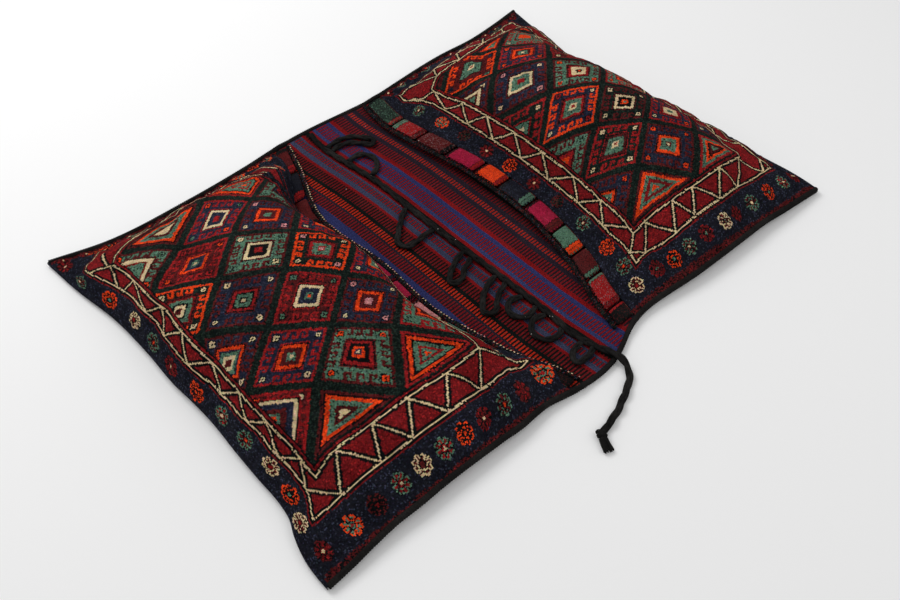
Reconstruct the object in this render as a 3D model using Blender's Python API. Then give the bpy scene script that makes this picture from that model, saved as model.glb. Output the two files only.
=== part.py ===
"""Double saddle bag: two pile-faced pockets on one striped flatweave, laid open on its back.

Metres, +Z up. The origin is on the floor under the middle of the bag. X runs from the left
pocket to the right pocket, -Y is the near edge. A share t runs over the width from the near
edge (0) to the far edge (1), and a share s runs over a pocket's depth from its end fold (0)
to its mouth (1).
"""
import bmesh
import bpy
import numpy as np

# Outline of the cloth, seen from above
HALF_LENGTH = 0.711
CLOTH_WIDTH = 1.008
# How far each edge is drawn in: (x of the place, amount)
NEAR_DRAWN_IN = [(-0.711, 0.012), (-0.448, 0.013), (-0.228, 0.010), (-0.100, 0.0015), (0.0, 0.0055),
                 (0.100, 0.038), (0.313, 0.034), (0.512, 0.019), (0.711, 0.009)]
FAR_DRAWN_IN = [(-0.711, 0.0), (-0.590, 0.043), (-0.391, 0.057), (-0.228, 0.044), (-0.121, 0.027),
                (0.171, 0.037), (0.398, 0.035), (0.512, 0.038), (0.611, 0.024), (0.711, 0.002)]
# How far each end fold is drawn in: (share t, amount)
LEFT_DRAWN_IN = [(0, 0), (0.13, 0.0165), (0.3, 0.026), (0.65, 0.029), (0.8, 0.023), (0.9, 0.010), (1, 0)]
RIGHT_DRAWN_IN = [(0, 0), (0.13, 0.014), (0.3, 0.030), (0.55, 0.047), (0.75, 0.056), (0.88, 0.036), (1, 0)]
# Mouth edge of each pile face: x in the middle of the width, and (share t, amount added)
LEFT_MOUTH_X = -0.230
LEFT_MOUTH_SWAY = [(0, 0.106), (0.05, 0.095), (0.1, 0.072), (0.2, 0.035), (0.3, 0.003), (0.5, 0), (0.78, 0),
                   (0.84, 0.028), (0.88, 0.047), (0.94, 0.069), (1, 0.090)]
RIGHT_MOUTH_X = 0.202
RIGHT_MOUTH_SWAY = [(0, -0.092), (0.1, -0.067), (0.16, -0.044), (0.26, -0.018), (0.35, -0.003), (0.6, 0),
                    (0.75, -0.018), (0.88, -0.030), (1, -0.012)]

# Fullness of the pockets
CROWN_RISE = 0.153           # top of a pocket above its flat seams
SEAM_REST = 0.008            # seam height at the corners and along the bridge
SEAM_RISE = 0.014            # how much higher the seams stand halfway along a pocket
POCKET_DEPTH = 0.47          # end fold to mouth, for the length along the profiles
# Section of each pocket from end fold to mouth: (share of the depth, share of the rise)
LEFT_SECTION_SHARES = [(0, 0), (0.03, 0.235), (0.135, 0.63), (0.378, 0.86), (0.585, 0.985), (0.79, 0.92),
                       (0.945, 0.735), (0.996, 0.50), (1.008, 0.30), (0.997, 0.11), (1.0, 0)]
RIGHT_SECTION_SHARES = [(0, 0), (0.026, 0.235), (0.13, 0.56), (0.218, 0.76), (0.415, 0.935), (0.568, 0.89),
                        (0.677, 0.745), (0.825, 0.386), (0.928, 0.12), (1, 0)]
# Section of each pocket across the width: (share of the width between the rims, share of the rise)
LEFT_SPAN_SHARES = [(0, 0), (0.03, 0.12), (0.10, 0.29), (0.18, 0.46), (0.33, 0.78), (0.52, 1), (0.72, 0.82),
                    (0.86, 0.53), (0.94, 0.33), (1, 0)]
RIGHT_SPAN_SHARES = [(0, 0), (0.03, 0.11), (0.10, 0.28), (0.18, 0.46), (0.33, 0.78), (0.50, 1), (0.70, 0.85),
                     (0.84, 0.55), (0.92, 0.36), (1, 0)]
FLATTENING = 2.2             # how fast stations leave equal steps as the cloth rises

# Cloth
PILE_THICK = 0.008
RIM_THICK = 0.0035           # pile face where it is pressed flat in a seam
THICKEN_RISE = 0.020         # rise over which the pile reaches its full thickness
RIM_WIDTH = 0.0125           # flat rim along each side seam
BACK_THICK = 0.004
LIFT_RUN = 0.070             # the back leaves the floor over this run before a raised seam
LIFT_STATIONS = (0, 0.25, 0.55, 1)
GAP = 0.0003                 # between cloths that touch

# Side bindings, a folded strip over the cloth edges
GRIP = 0.010
BINDING_WALL = 0.0028
BINDING_CLEARANCE = 0.0007
STEP_START, STEP_END = 0.020, 0.050   # past a mouth corner, where the top arm steps down

# Closure tabs, and the cord that edges each row. Slits are given as shares of the width
LEFT_SLIT_SHARES = [0.1071, 0.2024, 0.2956, 0.3750, 0.4444, 0.5159, 0.5992, 0.6885, 0.7778, 0.8671]
RIGHT_SLIT_SHARES = [0.0933, 0.1746, 0.2421, 0.3175, 0.4147, 0.5030, 0.5784, 0.6687, 0.7599, 0.8413]
LEFT_TAB_WOOL = ["black", "maroon", "green", "pink", "magenta", "magenta", "navy", "orange", "green", "red",
                 "maroon"]
RIGHT_TAB_WOOL = ["black", "red", "maroon", "green", "magenta", "navy", "orange", "magenta", "maroon", "red",
                  "dark_green"]
# How far the tabs stand out from each mouth: (share t, length). The left ones are partly turned in.
LEFT_TAB_LENGTHS = [(0, 0.030), (0.1, 0.020), (0.16, 0.019), (0.2, 0.024), (0.3, 0.034), (0.4, 0.036),
                    (1, 0.036)]
RIGHT_TAB_LENGTHS = [(0, 0.050), (1, 0.050)]
TAB_STATIONS = (0, 0.12, 0.5, 0.88, 1)
TAB_THICK = 0.006
TAB_CROWN = 0.004
SLIT = 0.008
CORD_HALF_WIDE = 0.006
CORD_HALF_HIGH = 0.003
CORD_SIDES = 8

# Closing rope, knot, tassel and loops
ROPE_RADIUS = 0.006
LOOP_RADIUS = 0.0055
LOOP_CLEARANCE = 0.0015       # a loop's slanting end to the rope's side
LAID_CLEARANCE = 0.0007       # rope and loops over the cloth they lie on
ROPE_POINTS = 56
LOOP_POINTS = 13
KNOT_RADII = (0.0105, 0.0095, 0.0088)
KNOT_TILT = 78                # latitude of the knot's flat ends, in degrees
KNOT_RINGS, TASSEL_RINGS, ROUND_SIDES = 7, 5, 10
TASSEL_LENGTH = 0.030
TASSEL_WIDTHS = (0.0075, 0.0105)
TASSEL_HEIGHTS = (0.0070, 0.0045)

# Mesh stations
DEPTH_STATIONS = 22
WIDTH_STATIONS = 24
BRIDGE_STATIONS = 8
FINE_STEPS = 2000
SMOOTH_ANGLE = 50

# Rope route, (x, y) from the far seam over the bridge to the near seam, then the tail on the floor
BRIDGE_ROUTE = [(-0.037, 0.456), (-0.043, 0.400), (-0.036, 0.330), (-0.023, 0.220), (-0.024, 0.080),
                (-0.022, -0.060), (-0.017, -0.190), (-0.015, -0.330), (-0.017, -0.415), (-0.006, -0.465)]
# Where the rope crosses the near binding: (x, distance in from the cloth's edge, height added)
CROSSING = [(-0.001, 0.013, 0.0), (0.0030, -0.004, 0.0002)]
TAIL_FALL = 0.45              # share of the crossing's height lost at the tail's first point
TAIL_ROUTE = [(0.0035, -0.522), (-0.004, -0.540), (-0.025, -0.557), (-0.056, -0.571), (-0.088, -0.584),
              (-0.120, -0.592), (-0.1435, -0.5975)]
TASSEL_HEADING = (-0.42, -0.91)

# Loops off the rope: (y of leaving, route, y of return), all on the bridge
LOOPS = [
    (0.392, [(0.000, 0.397), (0.030, 0.388), (0.056, 0.360), (0.067, 0.338), (0.059, 0.326),
             (0.046, 0.338), (0.024, 0.364), (0.000, 0.377)], 0.375),
    (0.318, [(0.004, 0.322), (0.024, 0.300), (0.020, 0.270), (-0.001, 0.250)], 0.243),
    (0.104, [(-0.060, 0.085), (-0.098, 0.052), (-0.118, 0.026), (-0.104, 0.010), (-0.070, 0.010)], 0.012),
    (-0.084, [(-0.055, -0.093), (-0.090, -0.112), (-0.108, -0.131), (-0.094, -0.143), (-0.060, -0.124)],
     -0.110),
    (-0.182, [(-0.060, -0.193), (-0.096, -0.218), (-0.112, -0.243), (-0.098, -0.254), (-0.064, -0.230)],
     -0.212),
    (-0.262, [(-0.050, -0.254), (-0.070, -0.266), (-0.074, -0.284), (-0.064, -0.302), (-0.046, -0.308)],
     -0.300),
    (-0.330, [(-0.046, -0.322), (-0.070, -0.334), (-0.078, -0.356), (-0.066, -0.378), (-0.044, -0.386)],
     -0.378),
    (-0.428, [(-0.046, -0.432), (-0.064, -0.444), (-0.066, -0.456), (-0.050, -0.462)], -0.456),
]

# Colours
COLOURS = {
    "wool_pile": ((0.075, 0.008, 0.010), 0.95),
    "striped_flatweave": ((0.045, 0.010, 0.018), 0.92),
    "black_binding": ((0.007, 0.007, 0.007), 0.95),
    "goat_hair_rope": ((0.009, 0.009, 0.009), 0.95),
    "edge_cord": ((0.010, 0.014, 0.012), 0.95),
    "black_wool": ((0.008, 0.008, 0.009), 0.95),
    "red_wool": ((0.270, 0.013, 0.014), 0.95),
    "maroon_wool": ((0.055, 0.008, 0.012), 0.95),
    "green_wool": ((0.030, 0.085, 0.055), 0.95),
    "dark_green_wool": ((0.010, 0.025, 0.018), 0.95),
    "magenta_wool": ((0.310, 0.010, 0.060), 0.95),
    "pink_wool": ((0.480, 0.200, 0.190), 0.95),
    "orange_wool": ((0.480, 0.045, 0.008), 0.95),
    "navy_wool": ((0.012, 0.013, 0.024), 0.95),
}


def curve(points):
    """Smooth curve through (place, value) points."""
    xs = np.array([p[0] for p in points], float)
    ys = np.array([p[1] for p in points], float)
    slopes = np.gradient(ys, xs)

    def at(x):
        x = np.clip(np.asarray(x, float), xs[0], xs[-1])
        i = np.clip(np.searchsorted(xs, x, side="right") - 1, 0, len(xs) - 2)
        step = xs[i + 1] - xs[i]
        k = (x - xs[i]) / step
        return ((2 * k**3 - 3 * k**2 + 1) * ys[i] + (k**3 - 2 * k**2 + k) * step * slopes[i]
                + (3 * k**2 - 2 * k**3) * ys[i + 1] + (k**3 - k**2) * step * slopes[i + 1])
    return at


LEFT_SLITS = [CLOTH_WIDTH * (share - 0.5) for share in LEFT_SLIT_SHARES]
RIGHT_SLITS = [CLOTH_WIDTH * (share - 0.5) for share in RIGHT_SLIT_SHARES]
near_drawn, far_drawn = curve(NEAR_DRAWN_IN), curve(FAR_DRAWN_IN)
left_drawn, right_drawn = curve(LEFT_DRAWN_IN), curve(RIGHT_DRAWN_IN)
left_sway, right_sway = curve(LEFT_MOUTH_SWAY), curve(RIGHT_MOUTH_SWAY)


def near(x):
    return -CLOTH_WIDTH / 2 + near_drawn(x)


def far(x):
    return CLOTH_WIDTH / 2 - far_drawn(x)


def left_end(t):
    return -HALF_LENGTH + left_drawn(t)


def right_end(t):
    return HALF_LENGTH - right_drawn(t)


def left_mouth(t):
    return LEFT_MOUTH_X + left_sway(t)


def right_mouth(t):
    return RIGHT_MOUTH_X + right_sway(t)


def section(points, run, count):
    """A section's points at equal steps of its own length, as shares along and shares of the rise."""
    p = np.array(points, float)
    chord = np.hypot(np.diff(p[:, 0]) * run, np.diff(p[:, 1]) * CROWN_RISE)
    place = np.concatenate([[0], np.cumsum(chord)])
    along, rise = curve(list(zip(place, p[:, 0]))), curve(list(zip(place, p[:, 1])))
    fine = np.linspace(0, place[-1], FINE_STEPS)
    a, b = along(fine), rise(fine)
    step = np.hypot(np.diff(a) * run, np.diff(b) * CROWN_RISE)
    length = np.concatenate([[0], np.cumsum(step)])
    even = np.linspace(0, length[-1], count)
    return np.interp(even, length, a), np.interp(even, length, b)


RIM = RIM_WIDTH / CLOTH_WIDTH     # the rim as a share of the width


def arch(share):
    """Rise of a seam along itself, 0 at its ends and 1 in the middle."""
    return np.sin(np.pi * np.clip(share, 0, 1))


def past_rim(t):
    return (t - RIM) / (1 - 2 * RIM)


def pocket_surface(end, mouth, along, across):
    """Outer surface of a pile face as a grid of points over s and t, and its rise over the seams."""
    a, b = section(along, POCKET_DEPTH, DEPTH_STATIONS)
    c, h = section(across, CLOTH_WIDTH, WIDTH_STATIONS - 2)
    s = np.linspace(0, 1, DEPTH_STATIONS)
    inner = np.linspace(RIM, 1 - RIM, WIDTH_STATIONS - 2)
    t = np.concatenate([[0], inner, [1]])
    c = np.concatenate([[0], RIM + (1 - 2 * RIM) * c, [1]])
    h = np.concatenate([[0], h, [0]])
    a, b, s = a[:, None], b[:, None], s[:, None]
    c, h, t = c[None, :], h[None, :], t[None, :]
    depth = s + (a - s) * np.clip(h * FLATTENING, 0, 1)
    width = t + (c - t) * np.clip(b * FLATTENING, 0, 1)
    x = end(width) + (mouth(width) - end(width)) * depth
    y = near(x) + (far(x) - near(x)) * width
    seam = arch(s) + arch(past_rim(t)) - arch(s) * arch(past_rim(t))
    rise = CROWN_RISE * b * h
    z = SEAM_REST + SEAM_RISE * seam + GAP / 2 + RIM_THICK + rise
    return np.stack([x, y, z], -1), rise


def normals(grid, up):
    """Unit normals of a grid of points, on the side that up (+1 or -1) gives."""
    ds = np.gradient(grid, axis=0)
    dt = np.gradient(grid, axis=1)
    n = np.cross(ds, dt) * up
    return n / np.linalg.norm(n, axis=-1, keepdims=True)


def material(slot):
    found = bpy.data.materials.get(slot)
    if found:
        return found
    made = bpy.data.materials.new(slot)
    made.use_nodes = True
    shader = made.node_tree.nodes["Principled BSDF"]
    colour, roughness = COLOURS[slot]
    shader.inputs["Base Color"].default_value = (*colour, 1)
    shader.inputs["Roughness"].default_value = roughness
    made.diffuse_color = (*colour, 1)
    return made


def mesh_object(name, points, faces, slot):
    """One closed piece from its points and faces, with every face turned outward."""
    mesh = bpy.data.meshes.new(name)
    mesh.from_pydata([tuple(p) for p in points], [], faces)
    turned = bmesh.new()
    turned.from_mesh(mesh)
    bmesh.ops.recalc_face_normals(turned, faces=turned.faces)
    turned.to_mesh(mesh)
    turned.free()
    made = bpy.data.objects.new(name, mesh)
    bpy.context.scene.collection.objects.link(made)
    mesh.materials.append(material(slot))
    mesh.shade_smooth()
    mesh.set_sharp_from_angle(angle=np.radians(SMOOTH_ANGLE))
    return made


def slab(name, top, bottom, slot):
    """A closed sheet between two grids of points that share their outline's order."""
    rows, columns = top.shape[:2]
    points = np.concatenate([top.reshape(-1, 3), bottom.reshape(-1, 3)])
    half = rows * columns

    def at(i, j):
        return i * columns + j
    faces = []
    for i in range(rows - 1):
        for j in range(columns - 1):
            faces.append((at(i, j), at(i + 1, j), at(i + 1, j + 1), at(i, j + 1)))
            faces.append((at(i, j) + half, at(i, j + 1) + half, at(i + 1, j + 1) + half, at(i + 1, j) + half))
    ring = [at(i, 0) for i in range(rows)]
    ring += [at(rows - 1, j) for j in range(1, columns)]
    ring += [at(i, columns - 1) for i in range(rows - 2, -1, -1)]
    ring += [at(0, j) for j in range(columns - 2, 0, -1)]
    for k, first in enumerate(ring):
        second = ring[(k + 1) % len(ring)]
        faces.append((second, first, first + half, second + half))
    return mesh_object(name, points, faces, slot)


def pile_face(name, end, mouth, along, across, side):
    """One pocket's face. side is +1 where s runs along +X, -1 where it runs along -X."""
    outer, rise = pocket_surface(end, mouth, along, across)
    inward = -normals(outer, side)
    down = np.zeros_like(inward)
    down[..., 2] = -1
    pressed = np.zeros(rise.shape, bool)
    pressed[0] = True
    pressed[:, :2] = True
    pressed[:, -2:] = True
    inward[pressed] = down[pressed]
    thick = RIM_THICK + (PILE_THICK - RIM_THICK) * np.clip(rise / THICKEN_RISE, 0, 1)
    inner = outer + inward * thick[..., None]
    return slab(name, outer, inner, "wool_pile")


def side_stations(t):
    """X of every station along the cloth at the share t, from the left end to the right end."""
    s = np.linspace(0, 1, DEPTH_STATIONS)
    left = left_end(t) + (left_mouth(t) - left_end(t)) * s
    right = right_end(t) + (right_mouth(t) - right_end(t)) * s
    bridge = np.linspace(left[-1], right[-1], BRIDGE_STATIONS)
    return np.concatenate([left, bridge[1:-1], right[::-1]])


def side_arch():
    """Share of the seam rise at each of those stations."""
    s = np.linspace(0, 1, DEPTH_STATIONS)
    return np.concatenate([arch(s), np.zeros(BRIDGE_STATIONS - 2), arch(s)[::-1]])


def back():
    """The flatweave under both pockets, flat on the floor and raised to the seams round the pockets."""
    runs = [0] + [RIM_WIDTH + LIFT_RUN * station for station in LIFT_STATIONS]
    start = np.array(runs) / CLOTH_WIDTH
    t = np.concatenate([start, [0.5], 1 - start[::-1]])
    x = np.stack([side_stations(share) for share in t], 1)
    y = near(x) + (far(x) - near(x)) * t
    from_side = np.minimum(t, 1 - t) * CLOTH_WIDTH - RIM_WIDTH
    side = np.clip(1 - np.maximum(from_side, 0) / LIFT_RUN, 0, 1)**2
    from_end = np.minimum(x - x[0], x[-1] - x)
    end = np.clip(1 - from_end / LIFT_RUN, 0, 1)**2
    rest = SEAM_REST - GAP / 2 - BACK_THICK
    lift = (side * (rest + SEAM_RISE * side_arch()[:, None])
            + end * (rest + SEAM_RISE * arch(past_rim(t))) - side * end * rest)
    bottom = np.stack([x, y, lift], -1)
    top = bottom + [0, 0, BACK_THICK]
    return slab("flatwoven_back", top, bottom, "striped_flatweave")


def binding(name, t):
    """Binding over one long edge: a U in section, open toward the cloth."""
    x = side_stations(t)
    edge = near(x) if t == 0 else far(x)
    inward = 1 if t == 0 else -1
    seam = SEAM_REST + SEAM_RISE * side_arch()
    left_clear = x - left_mouth(t) - STEP_START
    right_clear = right_mouth(t) - STEP_START - x
    fade = np.clip(np.minimum(left_clear, right_clear) / (STEP_END - STEP_START), 0, 1)
    face_rim = (GAP + RIM_THICK) * (1 - fade)
    roof = seam - GAP / 2 + face_rim + BINDING_CLEARANCE
    floor = seam - GAP / 2 - BACK_THICK - BINDING_CLEARANCE
    tip = edge + inward * GRIP
    inside = edge - inward * BINDING_CLEARANCE
    outside = inside - inward * BINDING_WALL
    ring = [(tip, floor), (inside, floor), (inside, roof), (tip, roof), (tip, roof + BINDING_WALL),
            (outside, roof + BINDING_WALL), (outside, floor - BINDING_WALL), (tip, floor - BINDING_WALL)]
    points = np.stack([np.stack([x, y, z], -1) for y, z in ring], 1)
    return swept(name, points, "black_binding")


def swept(name, rings, slot):
    """A closed solid through a row of equal rings of points."""
    count, sides = rings.shape[:2]
    faces = []
    for i in range(count - 1):
        for j in range(sides):
            k = (j + 1) % sides
            faces.append((i * sides + j, (i + 1) * sides + j, (i + 1) * sides + k, i * sides + k))
    faces.append(tuple(range(sides)))
    faces.append(tuple((count - 1) * sides + j for j in range(sides)))
    return mesh_object(name, rings.reshape(-1, 3), faces, slot)


def mouth_edge(mouth):
    """Points of a pile face's mouth edge at its own stations, near edge to far edge, at seam height."""
    inner = np.linspace(RIM, 1 - RIM, WIDTH_STATIONS - 2)
    t = np.concatenate([[0], inner, [1]])
    x = mouth(t)
    y = near(x) + (far(x) - near(x)) * t
    return np.stack([x, y, SEAM_REST + SEAM_RISE * arch(past_rim(t))], -1)


def slope_factor(edge):
    """How much longer a gap measured along X is than the gap itself, at each point of an edge."""
    slope = np.abs(np.diff(edge[:, 0]) / np.diff(edge[:, 1]))
    worst = np.maximum(np.concatenate([slope[:1], slope]), np.concatenate([slope, slope[-1:]]))
    return np.sqrt(1 + worst**2)


def tab_length(edge, lengths):
    """Length of the tabs as a function of y, straight between the points of the mouth's edge."""
    stations = curve(lengths)(edge[:, 1] / CLOTH_WIDTH + 0.5)
    return lambda y: np.interp(y, edge[:, 1], stations)


def tab_row(side_name, mouth, toward, slits, wools, lengths):
    """The tabs of one mouth, side by side along its edge, and the cord along their tips."""
    edge = mouth_edge(mouth)
    factor = slope_factor(edge)
    start, stop = edge[1, 1], edge[-2, 1]
    lows = [start] + [slit + SLIT / 2 for slit in slits]
    highs = [slit - SLIT / 2 for slit in slits] + [stop]
    shares = np.array(TAB_STATIONS)
    length_at = tab_length(edge, lengths)
    for number, (low, high, wool) in enumerate(zip(lows, highs, wools), 1):
        between = edge[(edge[:, 1] > low + 1e-5) & (edge[:, 1] < high - 1e-5), 1]
        y = np.concatenate([[low], between, [high]])
        root = np.interp(y, edge[:, 1], edge[:, 0])
        gap = GAP * np.interp(y, edge[:, 1], factor)
        bottom_z = np.interp(y, edge[:, 1], edge[:, 2]) + GAP / 2
        x = root[None, :] + toward * (gap[None, :] + (length_at(y) - gap)[None, :] * shares[:, None])
        crown_along = 1 - (2 * shares - 1)**2
        crown_across = 1 - (2 * (y - low) / (high - low) - 1)**2
        thick = TAB_THICK + TAB_CROWN * crown_along[:, None] * crown_across[None, :]
        ys = np.broadcast_to(y, x.shape)
        zs = np.broadcast_to(bottom_z, x.shape)
        bottom = np.stack([x, ys, zs], -1)
        top = np.stack([x, ys, zs + thick], -1)
        slab(f"{side_name}_closure_tab_{number:02d}", top, bottom, f"{wool}_wool")
    inside = edge[(edge[:, 1] > start - 1e-5) & (edge[:, 1] < stop + 1e-5)]
    reach = np.interp(inside[:, 1], edge[:, 1], factor) * (CORD_HALF_WIDE + GAP)
    centre_x = inside[:, 0] + toward * (length_at(inside[:, 1]) + reach)
    centre_z = inside[:, 2] + GAP / 2 + TAB_THICK / 2
    turns = 2 * np.pi * np.arange(CORD_SIDES) / CORD_SIDES
    stretch = np.interp(inside[:, 1], edge[:, 1], factor)
    rings = np.stack([
        centre_x[:, None] + CORD_HALF_WIDE * stretch[:, None] * np.cos(turns),
        np.repeat(inside[:, 1][:, None], CORD_SIDES, 1),
        centre_z[:, None] + CORD_HALF_HIGH * np.sin(turns)], -1)
    return swept(f"{side_name}_band_edge_cord", rings, "edge_cord")


def smooth_route(points, count):
    """Points at equal steps along a smooth curve through a route."""
    p = np.array(points, float)
    place = np.concatenate([[0], np.cumsum(np.linalg.norm(np.diff(p, axis=0), axis=1))])
    parts = [curve(list(zip(place, p[:, k]))) for k in range(3)]
    fine = np.stack([part(np.linspace(0, place[-1], FINE_STEPS)) for part in parts], 1)
    length = np.concatenate([[0], np.cumsum(np.linalg.norm(np.diff(fine, axis=0), axis=1))])
    even = np.linspace(0, length[-1], count)
    return np.stack([np.interp(even, length, fine[:, k]) for k in range(3)], 1)


def tube(name, points, radius):
    data = bpy.data.curves.new(name, "CURVE")
    data.dimensions = "3D"
    data.bevel_depth = radius
    data.bevel_resolution = 2
    data.use_fill_caps = True
    data.materials.append(material("goat_hair_rope"))
    line = data.splines.new("POLY")
    line.points.add(len(points) - 1)
    for target, place in zip(line.points, points):
        target.co = (*place, 1)
    made = bpy.data.objects.new(name, data)
    bpy.context.scene.collection.objects.link(made)
    return made


def bridge_top(x, y):
    """Height at which something lies on the bridge, which rises a little toward its two edges."""
    from_rim = np.minimum(y - near(x), far(x) - y) - RIM_WIDTH
    side = np.clip(1 - np.maximum(from_rim, 0) / LIFT_RUN, 0, 1)**2
    return BACK_THICK + side * (SEAM_REST - GAP / 2 - BACK_THICK) + LAID_CLEARANCE


def rope_route():
    """The rope's whole route: along the bridge, over the near binding and out on the floor."""
    binding_top = SEAM_REST - GAP / 2 + BINDING_CLEARANCE + BINDING_WALL
    over = binding_top + GAP + ROPE_RADIUS
    on_floor = ROPE_RADIUS + GAP
    route = [(x, y, bridge_top(x, y) + ROPE_RADIUS) for x, y in BRIDGE_ROUTE]
    edge = float(near(0.0))
    route += [(x, edge + inside, over + lifted) for x, inside, lifted in CROSSING]
    route.append((*TAIL_ROUTE[0], over + TAIL_FALL * (on_floor - over)))
    route += [(x, y, on_floor) for x, y in TAIL_ROUTE[1:]]
    return route


def knot_and_tassel(rope_points):
    """The knot that ends the rope, and the short tassel past it, both on the floor."""
    heading = np.array([*TASSEL_HEADING, 0.0])
    heading /= np.linalg.norm(heading)
    across = np.array([-heading[1], heading[0], 0.0])
    arriving = rope_points[-1] - rope_points[-2]
    arriving /= np.linalg.norm(arriving)
    reach = np.hypot(KNOT_RADII[0] * arriving @ heading, KNOT_RADII[1] * arriving @ across)
    centre = rope_points[-1] + arriving * (reach + GAP)
    centre[2] = KNOT_RADII[2] + GAP
    turns = 2 * np.pi * np.arange(ROUND_SIDES) / ROUND_SIDES
    rings = []
    for tilt in np.radians(np.linspace(-KNOT_TILT, KNOT_TILT, KNOT_RINGS)):
        middle = centre + heading * KNOT_RADII[0] * np.sin(tilt)
        wide, high = KNOT_RADII[1] * np.cos(tilt), KNOT_RADII[2] * np.cos(tilt)
        rings.append([middle + across * wide * np.cos(a) + [0, 0, high * np.sin(a)] for a in turns])
    swept("rope_knot", np.array(rings), "goat_hair_rope")
    begin = KNOT_RADII[0] * np.sin(np.radians(KNOT_TILT)) + GAP
    rings = []
    for share in np.linspace(0, 1, TASSEL_RINGS):
        wide = TASSEL_WIDTHS[0] + (TASSEL_WIDTHS[1] - TASSEL_WIDTHS[0]) * share
        high = TASSEL_HEIGHTS[0] + (TASSEL_HEIGHTS[1] - TASSEL_HEIGHTS[0]) * share
        middle = centre + heading * (begin + TASSEL_LENGTH * share)
        middle[2] = high + GAP
        rings.append([middle + across * wide * np.cos(a) + [0, 0, high * np.sin(a)] for a in turns])
    swept("rope_tassel", np.array(rings), "goat_hair_rope")


def at_rope(rope_points, y, beyond):
    """Where a loop's end meets the rope's side at this y, for a loop that runs on to the point beyond."""
    order = np.argsort(rope_points[:, 1])
    rope_x = np.interp(y, rope_points[order, 1], rope_points[order, 0])
    run = np.array(beyond) - (rope_x, y)
    slant = abs(run[1]) / np.hypot(*run)
    reach = ROPE_RADIUS + LOOP_RADIUS * slant + LOOP_CLEARANCE
    return (rope_x + np.sign(run[0]) * reach, y)


def loops(rope_points):
    """The loops on the bridge. Both ends of each meet the rope's side with a small gap."""
    for number, (leave, route, back_at) in enumerate(LOOPS):
        first = at_rope(rope_points, leave, route[0])
        last = at_rope(rope_points, back_at, route[-1])
        laid = [(x, y, bridge_top(x, y) + LOOP_RADIUS) for x, y in [first, *route, last]]
        tube(f"closure_loop_{number + 1}", smooth_route(laid, LOOP_POINTS), LOOP_RADIUS)


for existing in list(bpy.data.objects):
    bpy.data.objects.remove(existing, do_unlink=True)

pile_face("left_pile_face", left_end, left_mouth, LEFT_SECTION_SHARES, LEFT_SPAN_SHARES, 1)
pile_face("right_pile_face", right_end, right_mouth, RIGHT_SECTION_SHARES, RIGHT_SPAN_SHARES, -1)
back()
binding("near_side_binding", 0)
binding("far_side_binding", 1)
tab_row("left", left_mouth, 1, LEFT_SLITS, LEFT_TAB_WOOL, LEFT_TAB_LENGTHS)
tab_row("right", right_mouth, -1, RIGHT_SLITS, RIGHT_TAB_WOOL, RIGHT_TAB_LENGTHS)
rope = smooth_route(rope_route(), ROPE_POINTS)
tube("closure_rope", rope, ROPE_RADIUS)
loops(rope)
knot_and_tassel(rope)
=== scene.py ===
# %% [markdown]
# # A double saddle bag
# Two pockets with knotted-pile faces sit at the ends of one striped flatweave. The bag lies open
# on its back, softly filled out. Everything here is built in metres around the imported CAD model,
# in the same frame: X along the bag, -Y the near edge, +Z up. The CAD model gives the plain forms,
# and each piece below stands for one or more of its nodes with the looks of the real cloth.

# %% The fixed frame
import bpy
import numpy as np
from mathutils import Matrix, Vector


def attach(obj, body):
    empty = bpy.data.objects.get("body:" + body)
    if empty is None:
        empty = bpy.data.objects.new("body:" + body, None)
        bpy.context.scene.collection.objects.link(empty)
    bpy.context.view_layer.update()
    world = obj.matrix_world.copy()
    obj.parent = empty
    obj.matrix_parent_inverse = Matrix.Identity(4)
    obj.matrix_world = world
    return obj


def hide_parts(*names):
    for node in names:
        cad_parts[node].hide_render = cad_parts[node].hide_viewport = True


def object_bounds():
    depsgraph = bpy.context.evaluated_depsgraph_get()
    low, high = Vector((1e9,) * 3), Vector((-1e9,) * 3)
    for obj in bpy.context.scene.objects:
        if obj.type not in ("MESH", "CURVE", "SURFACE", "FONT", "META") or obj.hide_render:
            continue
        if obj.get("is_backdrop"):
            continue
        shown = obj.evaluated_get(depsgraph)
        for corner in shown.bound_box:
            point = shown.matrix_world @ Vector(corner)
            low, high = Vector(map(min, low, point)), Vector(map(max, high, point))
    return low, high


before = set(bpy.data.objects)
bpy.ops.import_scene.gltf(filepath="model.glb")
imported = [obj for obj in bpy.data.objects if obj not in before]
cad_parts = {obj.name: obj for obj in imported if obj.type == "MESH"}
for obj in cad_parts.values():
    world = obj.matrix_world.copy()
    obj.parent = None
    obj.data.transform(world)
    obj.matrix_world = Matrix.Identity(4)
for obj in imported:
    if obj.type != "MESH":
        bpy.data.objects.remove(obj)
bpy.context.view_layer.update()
draw = np.random.default_rng(11)
collection = bpy.context.scene.collection
print("CAD nodes", len(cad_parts))

# %% [markdown]
# The camera stands where the photograph was taken from: about two metres off, over the near left
# corner, looking down at some 45 degrees. Its axes are written as the columns of a matrix.

# %% Camera
lens = bpy.data.cameras.new("photo_camera")
lens.lens, lens.sensor_width = 37.42, 36
camera = bpy.data.objects.new("photo_camera", lens)
collection.objects.link(camera)
camera.matrix_world = Matrix(((0.7389, 0.5175, -0.4314, -0.9865), (-0.6738, 0.5625, -0.4792, -1.1055),
                              (-0.0053, 0.6448, 0.7643, 1.5073), (0, 0, 0, 1)))
bpy.context.scene.camera = camera

# %% [markdown]
# Small helpers. A curve through a few points gives every outline of the cloth, and each mesh is
# made from arrays of points, so that a whole surface is one formula.

# %% Helpers


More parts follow.
